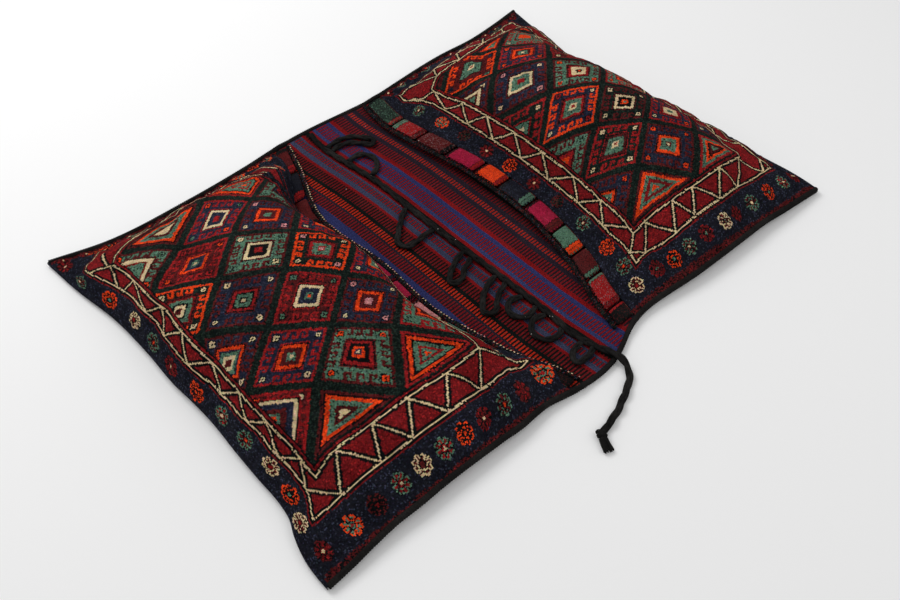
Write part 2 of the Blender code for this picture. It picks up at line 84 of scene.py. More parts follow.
def curve(points):
    """Smooth curve through (place, value) points."""
    xs = np.array([p[0] for p in points], float)
    ys = np.array([p[1] for p in points], float)
    slopes = np.gradient(ys, xs)

    def at(x):
        x = np.clip(np.asarray(x, float), xs[0], xs[-1])
        i = np.clip(np.searchsorted(xs, x, side="right") - 1, 0, len(xs) - 2)
        step = xs[i + 1] - xs[i]
        k = (x - xs[i]) / step
        return ((2 * k**3 - 3 * k**2 + 1) * ys[i] + (k**3 - 2 * k**2 + k) * step * slopes[i]
                + (3 * k**2 - 2 * k**3) * ys[i + 1] + (k**3 - k**2) * step * slopes[i + 1])
    return at


def grid_faces(rows, columns, closed=False):
    """Quads of a grid of points. With closed, the last column joins the first."""
    i, j = np.meshgrid(np.arange(rows - 1), np.arange(columns - (0 if closed else 1)), indexing="ij")
    k = (j + 1) % columns
    return np.stack([i * columns + j, (i + 1) * columns + j, (i + 1) * columns + k, i * columns + k],
                    -1).reshape(-1, 4)


def closed_sides(upper, lower):
    """Points and faces of a cloth from grids of its two sides, and the number of faces in its edge."""
    rows, columns = upper.shape[:2]
    index = np.arange(rows * columns).reshape(rows, columns)
    ring = np.concatenate([index[:, 0], index[-1, 1:], index[-2::-1, -1], index[0, -2:0:-1]])
    walls = np.stack([np.roll(ring, -1), ring, ring + index.size, np.roll(ring, -1) + index.size], -1)
    faces = grid_faces(rows, columns)
    points = np.concatenate([upper.reshape(-1, 3), lower.reshape(-1, 3)])
    return points, np.concatenate([faces, faces[:, ::-1] + index.size, walls]), len(ring)


def lengths_along(points):
    """Length of a line from its start to each of its points."""
    return np.concatenate([[0], np.cumsum(np.linalg.norm(np.diff(points, axis=0), axis=1))])


def unit(rows):
    """Each row as a direction of length 1."""
    return rows / np.linalg.norm(rows, axis=1)[:, None]


def mesh_piece(name, points, faces, material):
    """A smooth-shaded mesh object from arrays of points and faces."""
    mesh = bpy.data.meshes.new(name)
    faces = faces if isinstance(faces, list) else faces.tolist()
    mesh.from_pydata(np.asarray(points).tolist(), [], faces)
    mesh.materials.append(material)
    mesh.shade_smooth()
    made = bpy.data.objects.new(name, mesh)
    collection.objects.link(made)
    return made


def dress(made, nodes):
    """A piece rides with the bag's one body and stands for its CAD nodes."""
    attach(made, "root")
    if nodes:
        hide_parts(*nodes)
    return made


def paint(made, colours):
    """One colour a face, kept on its corners as the attribute wool_colour."""
    mesh = made.data
    layer = mesh.color_attributes.new("wool_colour", "FLOAT_COLOR", "CORNER")
    counts = np.empty(len(mesh.polygons), np.int32)
    mesh.polygons.foreach_get("loop_total", counts)
    rgba = np.concatenate([colours, np.ones((len(colours), 1))], 1)
    layer.data.foreach_set("color", np.repeat(rgba, counts, 0).astype(np.float32).ravel())


# %% [markdown]
# Wool colours, as linear values. The dyes are madder reds, indigo, a grey green and undyed cream;
# the goat hair is black-brown.

# %% Wool colours
WOOL = {
    "ink": (0.0040, 0.0045, 0.0050), "navy": (0.0120, 0.0145, 0.0280),
    "navy_ground": (0.0088, 0.0092, 0.0145), "lattice": (0.0055, 0.0095, 0.0080),
    "green": (0.075, 0.150, 0.100), "dark_green": (0.0140, 0.0235, 0.0180),
    "maroon": (0.078, 0.0095, 0.0100), "crimson": (0.135, 0.0075, 0.0090),
    "red": (0.250, 0.0110, 0.0120), "orange": (0.640, 0.045, 0.0075),
    "cream": (0.600, 0.455, 0.260), "pink": (0.480, 0.190, 0.190),
    "magenta": (0.300, 0.011, 0.040), "goat": (0.0072, 0.0068, 0.0068),
    "slate": (0.028, 0.032, 0.052), "dusty": (0.190, 0.110, 0.105),
}
WOOL_NAMES = list(WOOL)
WOOL_TABLE = np.array([WOOL[name] for name in WOOL_NAMES])
TINT_SPREAD, CREAM_SPREAD = 0.07, 0.4


def wool(name):
    """A wool's number in the table, which is what the pattern is written in."""
    return WOOL_NAMES.index(name)


def spun(which, spread=0.24):
    """Colours of an array of wool numbers, each knot a little lighter or darker than the next."""
    spread = np.where(which == wool("cream"), CREAM_SPREAD * spread, spread)
    shade = np.exp(draw.normal(0, 1, len(which)) * spread)[:, None]
    tint = np.exp(draw.normal(0, TINT_SPREAD, (len(which), 3)))
    return np.clip(WOOL_TABLE[which] * shade * tint, 0, 1)


print("wools", len(WOOL_NAMES))


# %% [markdown]
# Materials. Effects that several materials share are node groups: the pile's grain with its painted
# shade and highlight, the slow drift of a dye along the cloth, and the lint that clings to old wool.
# They only give out masks, colours and heights, and the shader itself stays in each material.

# %% Node helpers


def new_group(name, inputs, outputs):
    """An empty shader group with float or colour sockets: name to default for the inputs."""
    tree = bpy.data.node_groups.new(name, "ShaderNodeTree")
    for label, default in inputs.items():
        kind = "NodeSocketColor" if isinstance(default, tuple) else "NodeSocketFloat"
        socket = tree.interface.new_socket(label, in_out="INPUT", socket_type=kind)
        socket.default_value = default
    for label, kind in outputs.items():
        tree.interface.new_socket(label, in_out="OUTPUT", socket_type="NodeSocket" + kind)
    return tree, tree.nodes.new("NodeGroupInput"), tree.nodes.new("NodeGroupOutput")


def add(tree, kind, **values):
    """A node with its settings, and with its sockets' values by number or name."""
    node = tree.nodes.new("ShaderNode" + kind)
    for key, value in values.items():
        if key.startswith("at_"):
            socket = key[3:]
            node.inputs[int(socket) if socket.isdigit() else socket].default_value = value
        else:
            setattr(node, key, value)
    return node


def math(tree, operation, first, second=None):
    """The result of one arithmetic operation on sockets or numbers."""
    node = add(tree, "Math", operation=operation)
    for place, value in enumerate((first, second)):
        if value is None:
            continue
        if isinstance(value, (int, float)):
            node.inputs[place].default_value = value
        else:
            tree.links.new(value, node.inputs[place])
    return node.outputs[0]


def noise(tree, vector, scale, detail=2.0, roughness=0.5):
    """A noise value at the places that vector gives."""
    node = add(tree, "TexNoise", at_Scale=scale, at_Detail=detail, at_Roughness=roughness)
    tree.links.new(vector, node.inputs["Vector"])
    return node.outputs["Fac"]


def ranged(tree, value, low, high, to_low=0.0, to_high=1.0):
    """A value stretched from one range to another, and held at its ends."""
    node = add(tree, "MapRange", at_1=low, at_2=high, at_3=to_low, at_4=to_high)
    tree.links.new(value, node.inputs[0])
    return node.outputs[0]


def mixed(tree, factor, first, second):
    """Two colours mixed by a factor."""
    node = add(tree, "MixRGB", blend_type="MIX")
    for place, value in enumerate((factor, first, second)):
        if isinstance(value, bpy.types.NodeSocket):
            tree.links.new(value, node.inputs[place])
        else:
            node.inputs[place].default_value = value
    return node.outputs[0]


# %% [markdown]
# Pile is thousands of cut tufts, a little under two millimetres across, that lean and clump
# together. Modelling each would cost millions of faces, so two noises stand for them: a fine one
# for the tufts and a coarse one for the clumps. The same height also scales the colour, as painted
# shade in the hollows and painted highlight on the tips.

# %% Pile grain and painted shade group
tree, into, out = new_group("pile_grain_and_shade", {"Tuft Size": 1.0}, {"Height": "Float", "Shade": "Float"})
place = add(tree, "TexCoord").outputs["Object"]
scaled = add(tree, "VectorMath", operation="SCALE")
tree.links.new(place, scaled.inputs[0])
tree.links.new(into.outputs["Tuft Size"], scaled.inputs["Scale"])
tufts = noise(tree, scaled.outputs[0], 620, 2.0, 0.6)
clumps = noise(tree, scaled.outputs[0], 130, 3.0, 0.6)
height = math(tree, "ADD", math(tree, "MULTIPLY", tufts, 0.55), math(tree, "MULTIPLY", clumps, 0.45))
tree.links.new(height, out.inputs["Height"])
# Shade: painted shade in the hollows and painted highlight on the tips, taken from the height
tree.links.new(ranged(tree, height, 0.30, 0.68, 0.55, 1.35), out.inputs["Shade"])

# %% [markdown]
# Hand-dyed wool changes by the batch, so a noise stretched along the rows of knots makes bands a
# little lighter or darker. Where the surface has rubbed, it greys with dust.

# %% Dye drift group
tree, into, out = new_group("dye_drift", {"Colour": (0.5, 0.5, 0.5, 1), "Drift": 0.25, "Dust": 0.05},
                            {"Colour": "Color"})
place = add(tree, "TexCoord").outputs["Object"]
stretch = add(tree, "Mapping", vector_type="POINT")
stretch.inputs["Scale"].default_value = (26, 3.2, 8)
tree.links.new(place, stretch.inputs["Vector"])
batches = noise(tree, stretch.outputs[0], 1.0, 3.0, 0.55)
worn = noise(tree, place, 19, 4.0, 0.65)
half = math(tree, "MULTIPLY", into.outputs["Drift"], 0.5)
value = math(tree, "ADD", 1.0, math(tree, "MULTIPLY", ranged(tree, batches, 0.3, 0.7, -1.0, 1.0), half))
lit = add(tree, "VectorMath", operation="SCALE")
tree.links.new(into.outputs["Colour"], lit.inputs[0])
tree.links.new(value, lit.inputs["Scale"])
dusty = math(tree, "MULTIPLY", ranged(tree, worn, 0.45, 0.75), into.outputs["Dust"])
tree.links.new(mixed(tree, dusty, lit.outputs[0], (0.16, 0.15, 0.14, 1)), out.inputs["Colour"])

# %% [markdown]
# Old wool holds short pale fibres. They are a sparse mask: the middles of a cell pattern, most of
# them switched off again by a noise.

# %% Lint group
tree, into, out = new_group("lint", {"Amount": 0.5}, {"Mask": "Float"})
place = add(tree, "TexCoord").outputs["Object"]
flecks = add(tree, "TexVoronoi", feature="F1", at_Scale=95.0, at_Randomness=1.0)
tree.links.new(place, flecks.inputs["Vector"])
near_fleck = math(tree, "LESS_THAN", flecks.outputs["Distance"], 0.110)
few = math(tree, "LESS_THAN", noise(tree, flecks.outputs["Position"], 37, 1.0), math(
    tree, "MULTIPLY", into.outputs["Amount"], 0.4))
tree.links.new(math(tree, "MULTIPLY", near_fleck, few), out.inputs["Mask"])
print("shader groups", sorted(group.name for group in bpy.data.node_groups))

# %% [markdown]
# The wool materials. Wool hardly shines, so roughness is high and the specular level low. Each
# material takes the three groups with its own amounts: the grain's painted shade scales the colour,
# and a bump lifts the grain.

# %% Wool materials
LINT_COLOUR = (0.42, 0.39, 0.35, 1)
GOAT_BLACK = (0.0125, 0.0118, 0.0115)


def wool_material(name, colour=None, tuft=1.0, drift=0.3, dust=0.05, lint=0.4, bump=0.6, depth=0.0012,
                  base=None):
    """Matt wool. Its colour is one value, the wool_colour attribute, or whatever base builds."""
    made = bpy.data.materials.new(name)
    made.use_nodes = True
    tree = made.node_tree
    shader = tree.nodes["Principled BSDF"]
    shader.inputs["Roughness"].default_value = 0.95
    shader.inputs["Specular IOR Level"].default_value = 0.03
    if base:
        start, extra_height = base(tree)
    elif colour:
        start, extra_height = (*colour, 1), None
    else:
        start, extra_height = add(tree, "VertexColor", layer_name="wool_colour").outputs["Color"], None
    drifting = add(tree, "Group", node_tree=bpy.data.node_groups["dye_drift"])
    drifting.inputs["Drift"].default_value = drift
    drifting.inputs["Dust"].default_value = dust
    if isinstance(start, tuple):
        drifting.inputs["Colour"].default_value = start
    else:
        tree.links.new(start, drifting.inputs["Colour"])
    grain = add(tree, "Group", node_tree=bpy.data.node_groups["pile_grain_and_shade"])
    grain.inputs["Tuft Size"].default_value = tuft
    # The grain's painted shade and highlight scale the colour
    shaded = add(tree, "VectorMath", operation="SCALE")
    tree.links.new(drifting.outputs["Colour"], shaded.inputs[0])
    tree.links.new(grain.outputs["Shade"], shaded.inputs["Scale"])
    flecked = add(tree, "Group", node_tree=bpy.data.node_groups["lint"])
    flecked.inputs["Amount"].default_value = lint
    final = mixed(tree, flecked.outputs["Mask"], shaded.outputs[0], LINT_COLOUR)
    tree.links.new(final, shader.inputs["Base Color"])
    raised = grain.outputs["Height"]
    if extra_height is not None:
        raised = math(tree, "ADD", math(tree, "MULTIPLY", raised, 0.5), extra_height)
    bumped = add(tree, "Bump", at_Strength=bump, at_Distance=depth)
    tree.links.new(raised, bumped.inputs["Height"])
    tree.links.new(bumped.outputs[0], shader.inputs["Normal"])
    return made


pile_wool = wool_material("pile_wool", drift=0.35, dust=0.02, lint=0.12, bump=0.8, depth=0.0018)
tab_wool = wool_material("tab_wool", drift=0.3, dust=0.05, lint=0.7, bump=0.7, depth=0.0016)
goat_rope = wool_material("goat_rope", GOAT_BLACK, tuft=1.3, drift=0.5, dust=0.12, lint=0.9, bump=0.9)
black_wool = wool_material("black_wool", GOAT_BLACK, tuft=1.4, drift=0.3, dust=0.07, lint=0.5, bump=0.8)
print("materials", len(bpy.data.materials))

# %% [markdown]
# The cloth's outline. Its edges aren't straight: the stuffed pockets draw them in, and the mouths
# sway. Each edge is a curve through a few measured points, given as a place along the bag or a
# share t of its width, and the amount drawn in. The sections say how a pocket rises from its end
# fold to its mouth, and the spans how it rises across the width.

# %% Cloth outline
HALF_LENGTH, CLOTH_WIDTH = 0.711, 1.008
NEAR_DRAWN_IN = [(-0.711, 0.012), (-0.448, 0.013), (-0.228, 0.010), (-0.100, 0.0015), (0.0, 0.0055),
                 (0.100, 0.038), (0.313, 0.034), (0.512, 0.019), (0.711, 0.009)]
FAR_DRAWN_IN = [(-0.711, 0.0), (-0.590, 0.043), (-0.391, 0.057), (-0.228, 0.044), (-0.121, 0.027),
                (0.171, 0.037), (0.398, 0.035), (0.512, 0.038), (0.611, 0.024), (0.711, 0.002)]
LEFT_DRAWN_IN = [(0, 0), (0.13, 0.0165), (0.3, 0.026), (0.65, 0.029), (0.8, 0.023), (0.9, 0.010), (1, 0)]
RIGHT_DRAWN_IN = [(0, 0), (0.13, 0.014), (0.3, 0.030), (0.55, 0.047), (0.75, 0.056), (0.88, 0.036), (1, 0)]
LEFT_MOUTH_X, RIGHT_MOUTH_X = -0.230, 0.202
LEFT_MOUTH_SWAY = [(0, 0.106), (0.05, 0.095), (0.1, 0.072), (0.2, 0.035), (0.3, 0.003), (0.5, 0), (0.78, 0),
                   (0.84, 0.028), (0.88, 0.047), (0.94, 0.069), (1, 0.090)]
RIGHT_MOUTH_SWAY = [(0, -0.092), (0.1, -0.067), (0.16, -0.044), (0.26, -0.018), (0.35, -0.003), (0.6, 0),
                    (0.75, -0.018), (0.88, -0.030), (1, -0.012)]
CROWN_RISE, SEAM_REST, SEAM_RISE, POCKET_DEPTH = 0.153, 0.008, 0.014, 0.47
LEFT_SECTION = [(0, 0), (0.03, 0.235), (0.135, 0.63), (0.378, 0.86), (0.585, 0.985), (0.79, 0.92),
                (0.945, 0.735), (0.996, 0.50), (1.008, 0.30), (0.997, 0.11), (1.0, 0)]
RIGHT_SECTION = [(0, 0), (0.026, 0.235), (0.13, 0.56), (0.218, 0.76), (0.415, 0.935), (0.568, 0.89),
                 (0.677, 0.745), (0.825, 0.386), (0.928, 0.12), (1, 0)]
LEFT_SPAN = [(0, 0), (0.03, 0.12), (0.10, 0.29), (0.18, 0.46), (0.33, 0.78), (0.52, 1), (0.72, 0.82),
             (0.86, 0.53), (0.94, 0.33), (1, 0)]
RIGHT_SPAN = [(0, 0), (0.03, 0.11), (0.10, 0.28), (0.18, 0.46), (0.33, 0.78), (0.50, 1), (0.70, 0.85),
              (0.84, 0.55), (0.92, 0.36), (1, 0)]
# How far each end and the near edge are drawn in beyond the CAD outline, as the photograph shows it
LEFT_TUCK = [(0, 0), (0.03, -0.004), (0.064, -0.006), (0.116, 0.001), (0.145, 0.010), (0.18, 0.013),
             (0.25, 0.010), (0.32, 0.0085), (0.43, 0.009), (0.483, 0.006), (0.538, 0.002), (0.65, 0.005),
             (0.764, 0.004), (0.84, 0), (1, 0)]
RIGHT_TUCK = [(0, 0), (0.03, -0.005), (0.07, -0.009), (0.15, -0.009), (0.23, -0.011), (0.316, -0.011),
              (0.361, -0.005), (0.41, 0), (0.757, 0), (0.82, -0.007), (0.89, -0.009), (0.95, -0.004), (1, 0)]
NEAR_TUCK = [(-0.711, 0), (-0.655, 0.002), (-0.60, 0.006), (-0.555, 0.008), (-0.50, 0.006), (-0.43, 0.0065),
             (-0.375, 0.005), (-0.30, 0.003), (-0.25, 0.002), (-0.215, 0.006), (-0.180, 0.009),
             (-0.146, 0.006), (-0.10, 0), (0.15, 0), (0.22, -0.004), (0.36, -0.005), (0.45, 0),
             (0.51, 0.004), (0.60, 0.002), (0.711, 0)]
FLATTENING, RIM_THICK, RIM_WIDTH, BACK_THICK, LIFT_RUN, GAP = 2.2, 0.0035, 0.0125, 0.004, 0.070, 0.0003
RIM = RIM_WIDTH / CLOTH_WIDTH
near_drawn, far_drawn = curve(NEAR_DRAWN_IN), curve(FAR_DRAWN_IN)
left_drawn, right_drawn = curve(LEFT_DRAWN_IN), curve(RIGHT_DRAWN_IN)
left_sway, right_sway = curve(LEFT_MOUTH_SWAY), curve(RIGHT_MOUTH_SWAY)
left_tuck, right_tuck, near_tuck = curve(LEFT_TUCK), curve(RIGHT_TUCK), curve(NEAR_TUCK)


def near(x):
    """Y of the near edge."""
    return -CLOTH_WIDTH / 2 + near_drawn(x) + near_tuck(x)


def far(x):
    """Y of the far edge."""
    return CLOTH_WIDTH / 2 - far_drawn(x)


def left_end(t):
    """X of the left end fold."""
    return -HALF_LENGTH + left_drawn(t) + left_tuck(t)


def right_end(t):
    """X of the right end fold."""
    return HALF_LENGTH - right_drawn(t) - right_tuck(t)


def left_mouth(t):
    """X of the left pocket's mouth."""
    return LEFT_MOUTH_X + left_sway(t)


def right_mouth(t):
    """X of the right pocket's mouth."""
    return RIGHT_MOUTH_X + right_sway(t)


def arch(share):
    """A rise and fall from 0 over 1 to 0."""
    return np.sin(np.pi * np.clip(share, 0, 1))


def past_rim(t):
    """The share of the width between the two pressed rims."""
    return (t - RIM) / (1 - 2 * RIM)


print("cloth", round(float(right_end(0.5) - left_end(0.5)), 3), "m long in its middle")

# %% [markdown]
# The rope's route. It lies along the bridge, climbs over the near binding and falls to the floor.
# The loops leave its side and come back to it. The points are those of the CAD model, and a line at
# even steps is laid through them.

# %% Rope route
ROPE_RADIUS, LOOP_RADIUS, LOOP_CLEARANCE, LAID_CLEARANCE, GRIP = 0.006, 0.0055, 0.0015, 0.0007, 0.010
BINDING_WALL, BINDING_CLEARANCE = 0.0028, 0.0007
ROPE_POINTS, LOOP_POINTS, FINE_STATIONS = 56, 13, 2000
BRIDGE_ROUTE = [(-0.037, 0.456), (-0.043, 0.400), (-0.036, 0.330), (-0.023, 0.220), (-0.024, 0.080),
                (-0.022, -0.060), (-0.017, -0.190), (-0.015, -0.330), (-0.017, -0.415), (-0.006, -0.465)]
CROSSING = [(-0.001, 0.013, 0.0), (0.0030, -0.004, 0.0002)]
TAIL_FALL = 0.45
TAIL_ROUTE = [(0.0035, -0.522), (-0.004, -0.540), (-0.025, -0.557), (-0.056, -0.571), (-0.088, -0.584),
              (-0.120, -0.592), (-0.1435, -0.5975)]
LOOPS = [
    (0.392, [(0.000, 0.397), (0.030, 0.388), (0.056, 0.360), (0.067, 0.338), (0.059, 0.326),
             (0.046, 0.338), (0.024, 0.364), (0.000, 0.377)], 0.375),
    (0.318, [(0.004, 0.322), (0.024, 0.300), (0.020, 0.270), (-0.001, 0.250)], 0.243),
    (0.104, [(-0.060, 0.085), (-0.098, 0.052), (-0.118, 0.026), (-0.104, 0.010), (-0.070, 0.010)], 0.012),
    (-0.084, [(-0.055, -0.093), (-0.090, -0.112), (-0.108, -0.131), (-0.094, -0.143), (-0.060, -0.124)],
     -0.110),
    (-0.182, [(-0.060, -0.193), (-0.096, -0.218), (-0.112, -0.243), (-0.098, -0.254), (-0.064, -0.230)],
     -0.212),
    (-0.262, [(-0.050, -0.254), (-0.070, -0.266), (-0.074, -0.284), (-0.064, -0.302), (-0.046, -0.308)],
     -0.300),
    (-0.330, [(-0.046, -0.322), (-0.070, -0.334), (-0.078, -0.356), (-0.066, -0.378), (-0.044, -0.386)],
     -0.378),
    (-0.428, [(-0.046, -0.432), (-0.064, -0.444), (-0.066, -0.456), (-0.050, -0.462)], -0.456),
]


def smooth_route(points, count):
    """Points at equal steps along a smooth curve through a route."""
    p = np.array(points, float)
    place = lengths_along(p)
    parts = [curve(list(zip(place, p[:, k]))) for k in range(3)]
    fine = np.stack([part(np.linspace(0, place[-1], FINE_STATIONS)) for part in parts], 1)
    length = lengths_along(fine)
    even = np.linspace(0, length[-1], count)
    return np.stack([np.interp(even, length, fine[:, k]) for k in range(3)], 1)


def bridge_top(x, y):
    """Height at which something lies on the bridge."""
    from_rim = np.minimum(y - near(x) + near_tuck(x), far(x) - y) - RIM_WIDTH
    side = np.clip(1 - np.maximum(from_rim, 0) / LIFT_RUN, 0, 1)**2
    return BACK_THICK + side * (SEAM_REST - GAP / 2 - BACK_THICK) + LAID_CLEARANCE


def rope_route():
    """The rope's points, from its far end on the bridge to the knot on the floor."""
    binding_top = SEAM_REST - GAP / 2 + BINDING_CLEARANCE + BINDING_WALL
    over, on_floor = binding_top + GAP + ROPE_RADIUS, ROPE_RADIUS + GAP
    route = [(x, y, bridge_top(x, y) + ROPE_RADIUS) for x, y in BRIDGE_ROUTE]
    edge = float(near(0.0))
    route += [(x, edge + inside, over + lifted) for x, inside, lifted in CROSSING]
    route.append((*TAIL_ROUTE[0], over + TAIL_FALL * (on_floor - over)))
    return route + [(x, y, on_floor) for x, y in TAIL_ROUTE[1:]]


def at_rope(points, y, beyond):
    """Where a loop's end meets the rope's side, for a loop that runs on to the point beyond."""
    order = np.argsort(points[:, 1])
    x = np.interp(y, points[order, 1], points[order, 0])
    run = np.array(beyond) - (x, y)
    reach = ROPE_RADIUS + LOOP_RADIUS * abs(run[1]) / np.hypot(*run) + LOOP_CLEARANCE
    return (x + np.sign(run[0]) * reach, y)


rope_line = smooth_route(rope_route(), ROPE_POINTS)

# %% [markdown]
# The closing rope and its loops are goat hair, braided from three strands. Each strand follows the
# cord's centreline and swings from side to side a third of a turn behind the next, which is what a
# braid is. Goat hair is coarse, so single hairs stand out all round.

# %% Braided cords
STRAND_SHARE, SWING_SHARE, LIFT_SHARE = 0.66, 0.63, 0.34      # of the cord's radius
BRAID_STEP, HAIR_STEP, HAIR_HALF_WIDE = 0.0021, 0.0005, 0.00016
HAIR_LENGTHS, HAIR_ROOT = (0.0025, 0.0052), 0.85


def frames_along(points):
    """Directions across and upward of a line that lies nearly flat."""
    run = unit(np.gradient(points, axis=0))
    across = unit(np.cross(run, [0, 0, 1.0]))
    return across, np.cross(across, run)


def tube_rings(centres, radius, sides):
    """Rings of points round a line, one ring a centre. radius is a number or one a centre."""
    across, up = frames_along(centres)
    turn = 2 * np.pi * np.arange(sides) / sides
    r = np.broadcast_to(radius, len(centres))[:, None, None]
    return centres[:, None, :] + r * (np.cos(turn)[None, :, None] * across[:, None, :]
                                      + np.sin(turn)[None, :, None] * up[:, None, :])


def capped(rings):
    """Points and faces of a closed tube through its rings, with a fan at each end."""
    count, sides = rings.shape[:2]
    points = rings.reshape(-1, 3)
    faces = grid_faces(count, sides, closed=True).tolist()
    first, last = len(points), len(points) + 1
    points = np.concatenate([points, rings[0].mean(0)[None], rings[-1].mean(0)[None]])
    for j in range(sides):
        k = (j + 1) % sides
        faces.append([first, j, k])
        faces.append([last, (count - 1) * sides + k, (count - 1) * sides + j])
    return points, faces


def joined(parts):
    """Several (points, faces) as one."""
    points, faces, start = [], [], 0
    for p, f in parts:
        points.append(p)
        faces += [[v + start for v in face] for face in f]
        start += len(p)
    return np.concatenate(points), faces


def braid(line, radius, sides=8, lay=3.1):
    """Three strands braided about a line, in the space of a cord of that radius."""
    length = lengths_along(line)
    count = max(int(length[-1] / BRAID_STEP), 24)
    even = np.linspace(0, length[-1], count)
    smooth = [curve(list(zip(length, line[:, k])))(even) for k in range(3)]
    centre = np.stack(smooth, 1)
    across, up = frames_along(centre)
    strand, swing, lift = radius * STRAND_SHARE, radius * SWING_SHARE, radius * LIFT_SHARE
    parts = []
    for k in range(3):
        phase = even / (radius * lay) + 2 * np.pi * k / 3
        wobble = 1 + 0.07 * np.sin(even / 0.011 + 2.1 * k) + 0.05 * np.sin(even / 0.0047 + k)
        path = (centre + across * (swing * np.sin(phase))[:, None]
                + up * (lift * np.sin(2 * phase))[:, None])
        parts.append(capped(tube_rings(path, strand * wobble, sides)))
    hairs = int(even[-1] / HAIR_STEP)
    at = draw.integers(1, count - 1, hairs)
    turn, lean = draw.uniform(0, 2 * np.pi, hairs), draw.uniform(-1, 1, hairs)
    out = across[at] * np.cos(turn)[:, None] + up[at] * np.abs(np.sin(turn))[:, None]
    run = unit(np.gradient(centre, axis=0)[at])
    root = centre[at] + out * radius * HAIR_ROOT
    tip = root + (out * 0.45 + run * lean[:, None]) * draw.uniform(*HAIR_LENGTHS, hairs)[:, None]
    side = np.cross(out, run) * HAIR_HALF_WIDE
    parts.append((np.stack([root - side, root + side, tip], 1).reshape(-1, 3),
                  np.arange(3 * hairs).reshape(-1, 3).tolist()))
    return joined(parts)


# %% [markdown]
# The rope ends in a knot and a short tassel. The knot is a few turns of strand over a round core,
# and the tassel a bundle of hanks that spreads toward its cut end.

# %% Knot and tassel
KNOT_RADII, KNOT_STRAND, KNOT_CORE = (0.0105, 0.0095, 0.0088), 0.0034, 0.0072
# The turns: tilt, place along the rope's direction, size
KNOT_TURNS = ((0.5, -0.0040, 0.86), (-0.45, -0.0005, 1.0), (0.35, 0.0030, 0.95), (1.15, 0.0005, 0.90))
TASSEL_LENGTH, TASSEL_HANKS, HANK_RADIUS = 0.030, 26, 0.0019
TASSEL_WIDTHS, TASSEL_HEIGHTS, TASSEL_HEADING = (0.0075, 0.0105), (0.0070, 0.0045), (-0.42, -0.91)
heading = np.array([*TASSEL_HEADING, 0.0])
heading /= np.linalg.norm(heading)
sideways = np.array([-heading[1], heading[0], 0.0])
arriving = rope_line[-1] - rope_line[-2]
arriving /= np.linalg.norm(arriving)
knot_centre = rope_line[-1] + arriving * (np.hypot(KNOT_RADII[0] * arriving @ heading,
                                                   KNOT_RADII[1] * arriving @ sideways) + GAP)
knot_centre[2] = KNOT_RADII[2] + GAP
upward = np.array([0, 0, 1.0])


def knot_turn(tilt, offset, spread):
    """One turn of strand round the knot, tilted about the rope's direction."""
    a = np.linspace(0, 2 * np.pi, 40)
    side = np.cos(tilt) * sideways + np.sin(tilt) * heading
    ring = (knot_centre + heading * offset
            + 0.80 * KNOT_RADII[1] * spread * np.cos(a)[:, None] * side
            + 0.66 * KNOT_RADII[2] * spread * np.sin(a)[:, None] * upward)
    return capped(tube_rings_closed(ring, KNOT_STRAND, 8))


def tube_rings_closed(ring, radius, sides):
    """Rings of points round a ring-shaped line."""
    run = np.roll(ring[:-1], -1, 0) - np.roll(ring[:-1], 1, 0)
    run = unit(np.concatenate([run, run[:1]]))
    outward = ring - ring[:-1].mean(0)
    outward = unit(outward - (outward * run).sum(1)[:, None] * run)
    other = np.cross(run, outward)
    turn = 2 * np.pi * np.arange(sides) / sides
    return ring[:, None, :] + radius * (np.cos(turn)[None, :, None] * outward[:, None, :]
                                        + np.sin(turn)[None, :, None] * other[:, None, :])


knot_parts = [knot_turn(*turn) for turn in KNOT_TURNS]
core_line = knot_centre + heading * np.linspace(-0.0085, 0.0085, 9)[:, None]
core_radius = KNOT_CORE * np.sqrt(np.clip(1 - np.linspace(-0.97, 0.97, 9)**2, 0, 1)) + 0.0006
knot_parts.append(capped(tube_rings(core_line, core_radius, 10)))
rope_knot = mesh_piece("rope_knot_turns", *joined(knot_parts), goat_rope)
dress(rope_knot, ["rope_knot"])

hanks = []
begin = KNOT_RADII[0] * 0.93
for k in range(TASSEL_HANKS):
    u, v = draw.uniform(-1, 1), draw.uniform(-1, 1)
    u, v = u * np.sqrt(1 - v * v / 2), v * np.sqrt(1 - u * u / 2)
    along = np.linspace(0, 1, 9)
    length = TASSEL_LENGTH * draw.uniform(0.9, 1.0)
    wide = TASSEL_WIDTHS[0] + (TASSEL_WIDTHS[1] - TASSEL_WIDTHS[0]) * along
    high = TASSEL_HEIGHTS[0] + (TASSEL_HEIGHTS[1] - TASSEL_HEIGHTS[0]) * along
    sway = 0.0006 * np.sin(along * 5 + draw.uniform(0, 6))
    path = (knot_centre + heading * (begin - 0.002 + length * along)[:, None]
            + sideways * (0.98 * u * wide + sway)[:, None])
    path[:, 2] = high + GAP + 0.72 * v * high
    hanks.append(capped(tube_rings(path, HANK_RADIUS * (1 - 0.25 * along), 6)))
rope_tassel = mesh_piece("rope_tassel_hanks", *joined(hanks), goat_rope)
dress(rope_tassel, ["rope_tassel"])
print("knot turns", len(KNOT_TURNS), "hanks", len(hanks))

# %% [markdown]
# The rope and the eight loops are braided along their routes at their own thickness, and the length
# of each loop is printed. The knot and the tassel go with the rope.

# %% Rope and loops
rope = mesh_piece("closing_rope_braid", *braid(rope_line, ROPE_RADIUS), goat_rope)
dress(rope, ["closure_rope"])
for number, (leave, route, back_at) in enumerate(LOOPS, 1):
    first, last = at_rope(rope_line, leave, route[0]), at_rope(rope_line, back_at, route[-1])
    laid = [(x, y, bridge_top(x, y) + LOOP_RADIUS) for x, y in [first, *route, last]]
    line = smooth_route(laid, LOOP_POINTS)
    length = float(np.linalg.norm(np.diff(line, axis=0), axis=1).sum())
    loop = mesh_piece(f"closing_loop_{number}_braid", *braid(line, LOOP_RADIUS), goat_rope)
    dress(loop, [f"closure_loop_{number}"])
    print("loop", number, "length", round(length, 4))

